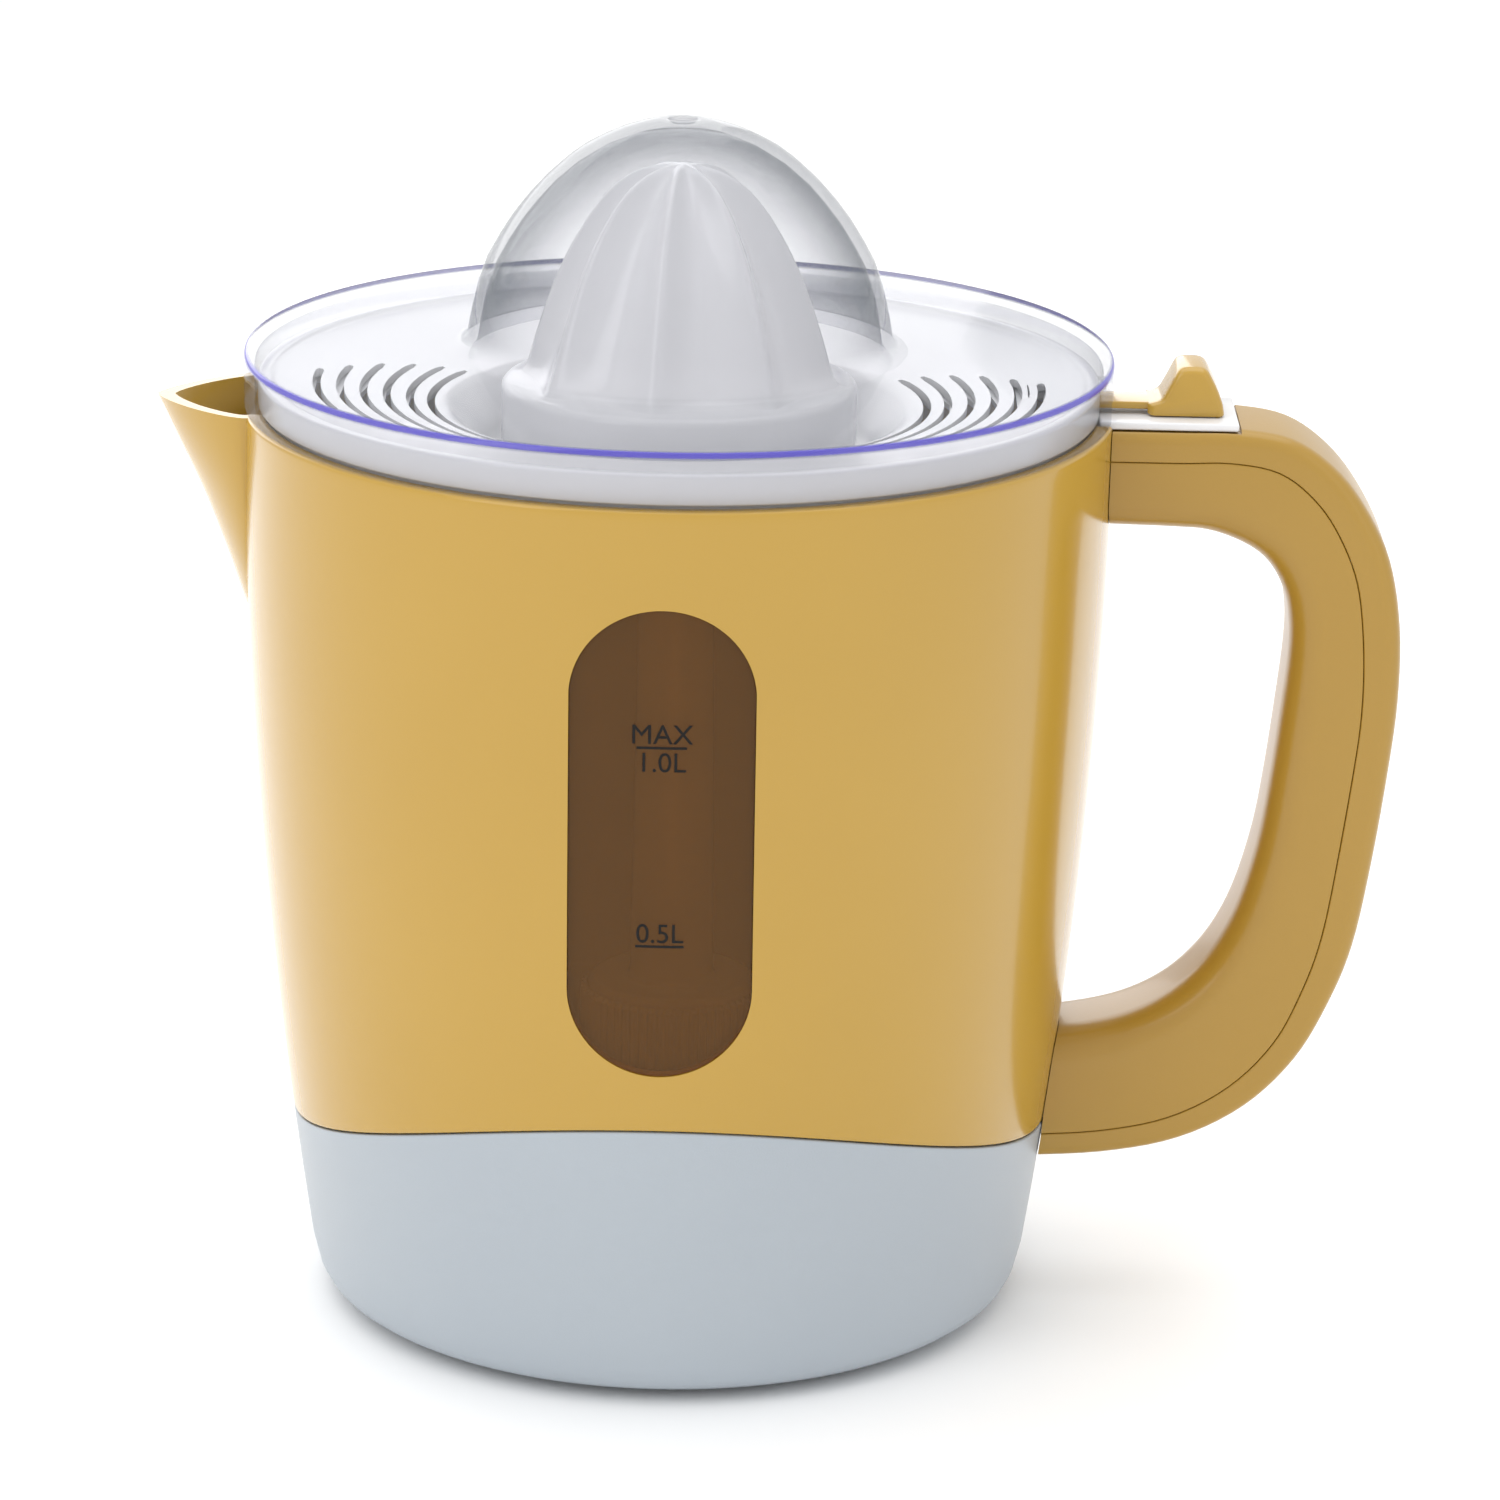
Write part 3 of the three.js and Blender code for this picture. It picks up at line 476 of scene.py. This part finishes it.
def stadium_block(name, shrink):
    """The sight window's outline, with round ends, pushed through the front wall."""
    half = (WINDOW_HALF - shrink) * MM
    low, high = (WINDOW_LOW + shrink) * MM, (WINDOW_HIGH - shrink) * MM
    bpy.ops.object.select_all(action="DESELECT")
    bpy.ops.mesh.primitive_circle_add(vertices=80, radius=half, fill_type="NGON",
                                      rotation=(math.pi / 2, 0, 0),
                                      location=(AXIS, -0.09, low + half))
    bpy.ops.object.transform_apply(location=True, rotation=True, scale=True)
    bpy.ops.object.mode_set(mode="EDIT")
    mesh = bmesh.from_edit_mesh(bpy.context.object.data)
    for vertex in mesh.verts:
        if vertex.co.z > low + half + 1e-6:
            vertex.co.z += high - low - 2 * half
    bmesh.update_edit_mesh(bpy.context.object.data)
    bpy.ops.mesh.select_all(action="SELECT")
    bpy.ops.mesh.extrude_region_move(TRANSFORM_OT_translate={"value": (0, 0.04, 0)})
    return finish_mesh(name)


carve(jug, stadium_block("window_hole", 0))
carve(jug, bar("rim_notch", (68, -TAB_SLOT_HALF, 159.3), (79, TAB_SLOT_HALF, 170)))
jug_yellow = moulded_plastic("jug_yellow", "#bb9538", "#b48e32", 0.2, 0.06, 1500.0, 0.05, coat=0.35)
dress(jug, jug_yellow)
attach(jug, "jug")
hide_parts("jug_shell")


# Drive tower: a slim white tube on a flanged boss that carries the shaft through the juice.
# It stands in the hole of the jug's floor, and fine flutes run round the boss.
tower_path = [
    (13, 33.2, 0.2), (15, 33.2, 0.2), (15, 36.1), (19, 36.1, 0.3), (19, 37.2, 0.4), (15, 38, 0.5),
    (15, 55, 0.5), (14, 56, 0.6), (7.5, 56, 1.2), (6.3, 150, 0.3), (5, 150), (5, 142), (4, 142),
    (4, 60), (5, 60), (5, 53.3), (13, 53.3, 0.6),
]
tower = turned("drive_tower", rounded(tower_path))
FLUTES = 60
FLUTE_POINTS = 8 * FLUTES
FLUTE_ROOT, FLUTE_LIFT, FLUTE_WAVE = 14.9, 0.4, 0.43
flute_rings = []
for z, crest in ((42.9, 0), (43.5, 1), (53.9, 1), (54.6, 0)):
    ring = []
    for i in range(FLUTE_POINTS):
        a = 2 * math.pi * i / FLUTE_POINTS
        r = FLUTE_ROOT + crest * (FLUTE_LIFT + FLUTE_WAVE * (1 + math.cos(FLUTES * a)))
        ring.append((r * math.cos(a), r * math.sin(a), z))
    flute_rings.append(ring)
flutes = lofted("tower_flutes", from_axis(flute_rings))
white_plastic = moulded_plastic("white_plastic", "#e9e9ea", "#e4e4e6", 0.22, 0.06, 1400.0, 0.05, coat=0.3)
for piece in (tower, flutes):
    dress(piece, white_plastic)
    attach(piece, "jug")
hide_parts("drive_tower")


# Sight window: a smoke-tinted clear pane set flush in the stadium-shaped hole.
PANE_FACE, PANE_BACK = 0.25, 2.4  # depths of the pane's two faces below the jug's skin
PANE_CLEARANCE = 0.12
pane_path = [(body_radius(z) - PANE_FACE, z) for z in body_heights(58, 148)]
pane_path += [(body_radius(z) - PANE_BACK, z) for z in body_heights(58, 148)[::-1]]
pane = turned("sight_window", pane_path, steps=288)
carve(pane, stadium_block("pane_outline", PANE_CLEARANCE), "INTERSECT")
smoke, smoke_place = new_material("smoke_window")
smoke_cloud = smoke_place.node("TexNoise", Vector=smoke_place, Scale=22.0, Detail=2.0)
smoke_skin = smoke_place.node("BsdfPrincipled", Base_Color=linear("#b98d58"), IOR=1.49,
                              Roughness=smoke_cloud * 0.05 + 0.06, Coat_Weight=0.6, Coat_Roughness=0.03)
smoke_clear = smoke_place.node("BsdfTransparent", Color=linear("#dcc29a"))
smoke_face = smoke_place.node("LayerWeight", outlet=1, Blend=0.35)
show(smoke, smoke_place.node("MixShader", i0=smoke_face * 0.16 + 0.13, i1=smoke_clear, i2=smoke_skin))
dress(pane, smoke)
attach(pane, "jug")
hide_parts("window_pane")


# Level marks: dark print on the pane, a line for each half litre with its figure beside it.
# They are laid out flat in front of the jug and then bent round to the pane's face.
MARK_LINES = ((120.7, 8.2), (86.0, 8.2))
MARK_WORDS = (("MAX", 121.4), ("1.0L", 116.6), ("0.5L", 86.7))
MARK_HEIGHT = 3.4
LINE_HALF = 0.22
PRINT_PLANE = 80  # distance of the flat layout from the axis
PRINT_DEPTH = 0.02
PRINT_BEND = 74  # radius that the widths are bent round
mark_pieces = []
for z, width in MARK_LINES:
    mark_pieces.append(bar("line", (-width / 2, -PRINT_PLANE, z - LINE_HALF),
                           (width / 2, -PRINT_PLANE + 2 * PRINT_DEPTH, z + LINE_HALF)))
for word, z in MARK_WORDS:
    bpy.ops.object.select_all(action="DESELECT")
    bpy.ops.object.text_add(location=(AXIS, -PRINT_PLANE * MM, z * MM),
                            rotation=(math.pi / 2, 0, 0))
    text = bpy.context.object
    text.data.body = word
    text.data.align_x = "CENTER"
    text.data.size = 1.4 * MARK_HEIGHT * MM
    text.data.extrude = PRINT_DEPTH * MM
    bpy.ops.object.convert(target="MESH")
    bpy.ops.object.transform_apply(location=True, rotation=True, scale=True)
    mark_pieces.append(bpy.context.object)
bpy.ops.object.select_all(action="DESELECT")
for piece in mark_pieces:
    piece.select_set(True)
bpy.context.view_layer.objects.active = mark_pieces[0]
bpy.ops.object.join()
marks = bpy.context.object
marks.name = "level_marks"
bpy.ops.object.mode_set(mode="EDIT")
bpy.ops.mesh.select_all(action="SELECT")
bpy.ops.mesh.subdivide(number_cuts=2)
bpy.ops.object.mode_set(mode="OBJECT")
for vertex in marks.data.vertices:
    lift = vertex.co.y / MM + PRINT_PLANE
    around = (vertex.co.x - AXIS) / MM / PRINT_BEND
    r = body_radius(vertex.co.z / MM) - 0.17 - lift
    vertex.co.x = AXIS + r * math.sin(around) * MM
    vertex.co.y = -r * math.cos(around) * MM
ink = moulded_plastic("mark_ink", "#070504", "#0b0806", 0.85, 0.1, 3000.0, 0.05)
dress(marks, ink)
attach(marks, "jug")


# Handle: an inner channel that the fingers close round and an outer strap that caps it. The
# hairline between the two runs down both sides; each end is trimmed to the body.
HANDLE_ROWS = [
    (70, 142.3, 70, 160, 5.8), (78, 142.1, 78, 160, 5.8), (86, 141.9, 86, 160, 5.8),
    (91.5, 141.4, 96, 160, 5.8), (97.6, 139.3, 105.3, 158.4, 6), (102, 136.2, 112.6, 153.6, 6.3),
    (105, 131.2, 118.2, 146.8, 6.6), (106.2, 125.6, 122.9, 137.4, 6.8), (106.3, 119, 125.3, 125.4, 6.8),
    (105.2, 106.9, 125.6, 112, 6.6), (104, 95.8, 124.4, 98, 6.4), (102.4, 84.8, 122.4, 82, 6.2),
    (99.7, 74.3, 119.9, 67.5, 6), (96.5, 66.8, 116.2, 56.7, 5.6), (92.5, 61, 110.6, 46, 5.2),
    (87.3, 56.2, 102, 36.9, 5), (80.5, 52.6, 90.6, 30.7, 4.7), (72, 50.4, 77, 27.7, 4.5),
    (60, 48.8, 61, 26.6, 4.4),
]
HANDLE_HALF = 11.2
HANDLE_STATIONS = 90
PARTING_HALF = 0.05  # half of the hairline between the channel and the strap


def handle_section(near, far, near_round, far_round):
    """Rounded rectangle across the handle, as (depth, side) pairs."""
    corners = [
        (near, HANDLE_HALF, near_round), (far, HANDLE_HALF, far_round),
        (far, -HANDLE_HALF, far_round), (near, -HANDLE_HALF, near_round),
    ]
    return rounded(corners, steps=8)


def handle_piece(name, strap):
    rings = []
    for k in range(HANDLE_STATIONS + 1):
        ix, iz, ox, oz, thick = along(HANDLE_ROWS, k / HANDLE_STATIONS)
        length = math.hypot(ox - ix, oz - iz)
        ux, uz = (ox - ix) / length, (oz - iz) / length
        parting = length - thick
        if strap:
            section = handle_section(parting + PARTING_HALF, length, 0.35, 4.4)
        else:
            section = handle_section(0, parting - PARTING_HALF, 6.5, 0.35)
        rings.append([(ix + n * ux, y, iz + n * uz) for n, y in section])
    return lofted(name, from_axis(rings), smooth=40)


grip = handle_piece("handle_channel", strap=False)
strap = handle_piece("handle_cover", strap=True)
# Painted shade: the handle is the same yellow moulding as the jug, and this darker, less glossy copy of its
# colour paints the shade that falls on the handle.
handle_shaded_yellow = moulded_plastic("handle_shaded_yellow", "#ad8835", "#a6812f", 0.3, 0.06, 1500.0, 0.06, coat=0.15)
BASE_CLEARANCE, JUG_CLEARANCE = 0.35, 0.12
clear_path = [(0, 10), (body_radius(10) + BASE_CLEARANCE, 10)]
clear_path += [(body_radius(z) + BASE_CLEARANCE, z) for z in body_heights(14, 30)]
clear_path += [(body_radius(z) + JUG_CLEARANCE, z) for z in body_heights(36, 156)]
clear_path += [(75 + JUG_CLEARANCE, 170), (0, 170)]
for piece in (grip, strap):
    carve(piece, turned("body_clearance", clear_path, closed=False), smooth=40)
carve(strap, bar("tab_recess", (60, -TAB_SLOT_HALF, 159.3), (96.4, TAB_SLOT_HALF, 168)), smooth=40)
for piece, node in ((grip, "handle_grip"), (strap, "handle_strap")):
    dress(piece, handle_shaded_yellow)
    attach(piece, "jug")
    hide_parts(node)


# Strainer: a glossy white dish that drops into the jug's rim, with arc slots at both sides
# for the juice, a deep well round the reamer and a flat tab that rests on the handle.
SLOT_RADII = (42.8, 46.4, 50.4, 54.4, 58.4, 62.4)
SLOT_SPREAD = (37, 35, 31, 26, 20, 14)
SLOT_WIDTH = 1.4
SLOT_CENTRES = (-10, 190)
SLOT_CUT = (155.5, 168)  # heights that the slots' cutters run between
SLOT_STATIONS = 24


def plate_height(r):
    return 165.4 - 0.176 * (70 - r)


strainer_path = [
    (72.4, 160.7, 0.4), (72.4, 165.9, 0.7), (70.4, 165.9, 0.5), (69.4, plate_height(69.4), 0.8),
    (41, plate_height(41), 1.6), (39, 159.2), (33.8, 151.6, 1.2), (31.8, 150.6), (9, 150.6, 0.8),
    (9, 154, 0.4), (7.4, 154, 0.4), (7.4, 148.9), (33, 148.9), (35.4, 150.6), (40.6, 158.4),
    (42, plate_height(42) - 1.4), (68.6, plate_height(68.6) - 1.4), (69.6, 162), (69.6, 155, 0.3),
    (71.3, 155, 0.5), (71.3, 160.7),
]
strainer = turned("strainer_dish", rounded(strainer_path))
slot_tools = []
for radius, spread in zip(SLOT_RADII, SLOT_SPREAD):
    for centre in SLOT_CENTRES:
        rings = []
        for k in range(SLOT_STATIONS + 1):
            a = math.radians(centre + spread * (2 * k / SLOT_STATIONS - 1))
            taper = 0.5 if k in (0, SLOT_STATIONS) else 1.0
            low, high = radius - taper * SLOT_WIDTH / 2, radius + taper * SLOT_WIDTH / 2
            corners = ((low, SLOT_CUT[0]), (high, SLOT_CUT[0]), (high, SLOT_CUT[1]), (low, SLOT_CUT[1]))
            rings.append([(r * math.cos(a), r * math.sin(a), z) for r, z in corners])
        slot_tools.append(lofted("slot", from_axis(rings)))
bpy.ops.object.select_all(action="DESELECT")
for tool in slot_tools:
    tool.select_set(True)
bpy.context.view_layer.objects.active = slot_tools[0]
bpy.ops.object.join()
carve(strainer, bpy.context.object)
carve(strainer, bar("slider_gate", (60, -4.6, 161.5), (80, 4.6, 163.7)))
tab = bar("strainer_tab", (72.2, -10, 159.6), (96, 10, 161))
use_modifier(tab, "BEVEL", width=0.4 * MM, segments=3)
bpy.ops.object.shade_smooth_by_angle(angle=math.radians(35))
for piece in (strainer, tab):
    dress(piece, white_plastic)
    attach(piece, "strainer_basket")
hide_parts("strainer")


# Reamer: a hollow white cone with eight crested ribs and concave flutes over a plain skirt,
# and a hexagon socket inside that drops onto the drive shaft.
REAMER_RIBS = 8
REAMER_TURN = math.radians(-98)
SKIRT_ROWS = [
    (153.8, 30.2), (154.0, 30.5), (154.5, 30.7), (163.2, 30.7), (163.9, 30.5), (164.3, 30.1),
    (164.6, 29.4),
]
CONE_ROWS = [
    (164.8, 27.9, 25.2), (166.5, 26.7, 23.2), (169.9, 25.7, 21.6), (174.2, 24.4, 20.1), (178.6, 22.9, 18.4),
    (183, 21.2, 16.6), (187.3, 19.2, 14.6), (191.4, 16.9, 12.3), (195.2, 14.3, 9.8), (198.4, 11.3, 7.1),
    (200.6, 8, 4.6), (201.7, 4.8, 3), (202.2, 1.2, 1),
]
REAMER_POINTS = 192
CONE_STATIONS = 60
CREST_ROUND, CREST_LIFT, CREST_SHARP = 0.012, 0.11, 2.3
SOCKET_RADIUS, SOCKET_DEPTH = 3.6, 34
reamer_rings = []
for z, r in SKIRT_ROWS:
    angles = [2 * math.pi * i / REAMER_POINTS for i in range(REAMER_POINTS)]
    reamer_rings.append([(r * math.cos(a), r * math.sin(a), z) for a in angles])
for k in range(CONE_STATIONS + 1):
    z, rib, groove = along(CONE_ROWS, k / CONE_STATIONS)
    ring = []
    for i in range(REAMER_POINTS):
        a = 2 * math.pi * i / REAMER_POINTS
        away = abs(((a - REAMER_TURN) * REAMER_RIBS / (2 * math.pi) + 0.5) % 1 - 0.5) * 2
        crest = max(0.0, 1 - math.sqrt(away ** 2 + CREST_ROUND) + CREST_LIFT) ** CREST_SHARP
        r = groove + (rib - groove) * min(1.0, crest)
        ring.append((r * math.cos(a), r * math.sin(a), z))
    reamer_rings.append(ring)
reamer = lofted("reamer_cone", from_axis(reamer_rings), smooth=50)
hollow_path = [
    (5.8, 152), (28.6, 152), (28.6, 161.4, 1.5), (22.4, 163), (19.6, 169), (16, 178.6),
    (12.2, 187.3), (7.2, 193.5), (5.8, 193.5),
]
carve(reamer, turned("reamer_hollow", rounded(hollow_path)), smooth=50)
bpy.ops.object.select_all(action="DESELECT")
bpy.ops.mesh.primitive_cylinder_add(vertices=6, radius=SOCKET_RADIUS * MM,
                                    depth=SOCKET_DEPTH * MM, location=(AXIS, 0, 170 * MM))
bpy.ops.object.transform_apply(location=True, rotation=True, scale=True)
carve(reamer, bpy.context.object, smooth=50)
carve(reamer, turned("post_trim", [(0, 150), (6.2, 150), (6.2, 157), (0, 157)], closed=False), smooth=50)
dress(reamer, white_plastic)
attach(reamer, "reamer_cone")
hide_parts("reamer")


# Pulp slider: a yellow thumb piece on the strainer's tab, swelling to a rounded top for the
# thumb, with a thin arm that runs in under the cover to the shutter below the slots.
KNOB_SIDE = [
    (80.5, 161.3, 0.3), (93.7, 161.3, 0.3), (93.4, 163.2, 0.6), (92.3, 166, 2.2), (90.4, 169.5, 1.9),
    (88, 169.75, 2), (85.6, 169.5, 1.9), (83.9, 166, 2.2), (82.6, 163.6, 1), (80.5, 163.2, 0.4),
]
knob_outline = rounded(KNOB_SIDE, steps=5)
KNOB_LAYERS = [(-6, 0.86), (-5.7, 0.94), (-5, 0.99), (-4, 1), (4, 1), (5, 0.99), (5.7, 0.94), (6, 0.86)]
KNOB_MIDDLE, KNOB_FOOT = 87.3, 161.3  # the point that the outer layers shrink towards
knob_rings = []
for y, size in KNOB_LAYERS:
    knob_rings.append([
        (KNOB_MIDDLE + (x - KNOB_MIDDLE) * size, y, KNOB_FOOT + (z - KNOB_FOOT) * size)
        for x, z in knob_outline
    ])
knob = lofted("slider_knob", from_axis(knob_rings), smooth=50)
arm = bar("slider_arm", (66.2, -4, 161.9), (82, 4, 163.2))
use_modifier(arm, "BEVEL", width=0.3 * MM, segments=3)
carve(knob, arm, "UNION", smooth=50)
dress(knob, jug_yellow)
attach(knob, "pulp_control")
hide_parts("pulp_slider")


# Dust cover: clear plastic 1.8 mm thick, turned up into a dome over the reamer. Its wall
# stands on the jug's rim, and its cut edges gather a blue-violet tint.
dome_outer = [
    (39.4, 170.3), (37.9, 170.6), (37, 171.4), (36.5, 172.8), (36.1, 175.5), (35.4, 178.6),
    (34.5, 182.1), (33.3, 185.6), (31.3, 189.2), (29.1, 192.7), (26.4, 196.2), (23.3, 199.6),
    (19.5, 203), (16.9, 204.9), (14, 206.5), (11, 207.9), (8, 208.95),
    (5.5, 209.6), (3.4, 209.98), (2.6, 209.9), (2, 209.3), (0, 209.2),
]
dome_inner = [
    (0, 207.6), (3, 207.55), (8, 206.9), (13.3, 204.7), (18.2, 201.6), (22, 198.3), (25, 194.9),
    (27.6, 191.5), (29.8, 188), (31.7, 184.5), (32.8, 181.4), (33.7, 178), (34.3, 175), (34.8, 171),
    (36.4, 168.7), (37.6, 168.5),
]
cover_path = [(74.8, 160.6, 0.3), (74.8, 170.3, 1.1)] + dome_outer + dome_inner
cover_path += [(73, 168.5, 0.8), (73, 160.6, 0.3)]
cover = turned("clear_cover", rounded(cover_path), steps=180)
carve(cover, bar("cover_notch", (68, -TAB_SLOT_HALF, 150), (80, TAB_SLOT_HALF, 164.2)))
clear, clear_place = new_material("clear_cover")
clear_cloud = clear_place.node("TexNoise", Vector=clear_place, Scale=30.0, Detail=2.0)
height = clear_place.node("SeparateXYZ", outlet=2, Vector=clear_place)
sideways = clear_place.node("SeparateXYZ", outlet=0, Vector=clear_place) - AXIS
depth = clear_place.node("SeparateXYZ", outlet=1, Vector=clear_place)
reach = (sideways * sideways + depth * depth) ** 0.5
edge_mask = clear_place.node("MapRange", Value=reach, From_Min=0.0739, From_Max=0.0745)
edge_mask = edge_mask * clear_place.node("MapRange", Value=height, From_Min=0.1688, From_Max=0.1694)
# Painted shade: the dark grey, mixed in more at grazing angles and most on the dome, paints the darker edges
# of the clear plastic; the violet along the cut edge is the plastic's own tint.
painted_grey_and_edge_tint = clear_place.node("Mix", {"data_type": "RGBA"}, outlet=2, i0=edge_mask, i6=linear("#4d565e"),
                        i7=linear("#5148b4"))
shine = clear_place.node("BsdfPrincipled", Base_Color=painted_grey_and_edge_tint, IOR=1.45, Roughness=clear_cloud * 0.04 + 0.05)
through = clear_place.node("BsdfTransparent", Color=linear("#f9f9fa"))
facing = clear_place.node("LayerWeight", outlet=1, Blend=0.5)
dome_mask = clear_place.node("MapRange", Value=height, From_Min=0.1704, From_Max=0.174)
wall_mask = clear_place.node("MapRange", Value=height, From_Min=0.1686, From_Max=0.168)
plate_mix = (facing ** 5.0) * 0.5 * (1 - dome_mask)
dome_mix = (facing ** 1.8) * 0.62 * dome_mask
cover_mix = plate_mix + dome_mix + edge_mask * 0.9 + wall_mask * 0.03 + 0.03
show(clear, clear_place.node("MixShader", i0=cover_mix, i1=through, i2=shine))
dress(cover, clear)
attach(cover, "cover")
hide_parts("dust_cover")


# Pieces kept as they come from the frame: steel shafts and screws, bronze bushes, acetal gears
# and rubber feet, inside the base and below it.
def turned_metal(name, colour, deep, roughness):
    """Bare metal with a fine bumped grain and small changes of gloss."""
    material, place = new_material(name)
    lines = place.node("TexNoise", Vector=place, Scale=900.0, Detail=3.0)
    cloud = place.node("TexNoise", Vector=place, Scale=70.0, Detail=3.0)
    mixed = place.node("Mix", {"data_type": "RGBA"}, outlet=2, i0=cloud, i6=linear(colour), i7=linear(deep))
    bump = place.node("Bump", Strength=0.15, Distance=0.0001, Height=lines)
    show(material, place.node("BsdfPrincipled", Base_Color=mixed, Metallic=1.0, Normal=bump,
                              Roughness=lines * 0.12 + (roughness - 0.06)))
    return material


steel = turned_metal("bare_steel", "#b9bbbe", "#a6a9ad", 0.32)
zinc = turned_metal("zinc_screw", "#c4c5c4", "#b0b3b5", 0.25)
bronze = turned_metal("bush_bronze", "#b8935a", "#a27f4a", 0.38)
rubber = moulded_plastic("black_rubber", "#1b1b1c", "#222223", 0.6, 0.12, 900.0, 0.25)
acetal = moulded_plastic("gear_acetal", "#e6e3d8", "#dedbcf", 0.38, 0.08, 1200.0, 0.08)
KEPT = {
    "base_plastic": base_grey, "foot_rubber": rubber, "inlet_rubber": rubber, "switch_plastic": rubber,
    "screw_steel": zinc, "plate_steel": steel, "motor_steel": steel, "shaft_steel": steel,
    "spring_steel": steel, "gear_acetal": acetal, "bush_brass": bronze, "white_plastic": white_plastic,
}
for entry in frame["record"]["subparts"]:
    holder = frame["nodes"][entry["node"]]
    if entry["material_slot"] in KEPT and not holder.hide_render:
        dress(holder, KEPT[entry["material_slot"]])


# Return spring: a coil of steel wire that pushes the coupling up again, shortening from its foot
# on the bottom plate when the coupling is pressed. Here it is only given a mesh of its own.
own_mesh(frame["nodes"]["return_spring"])
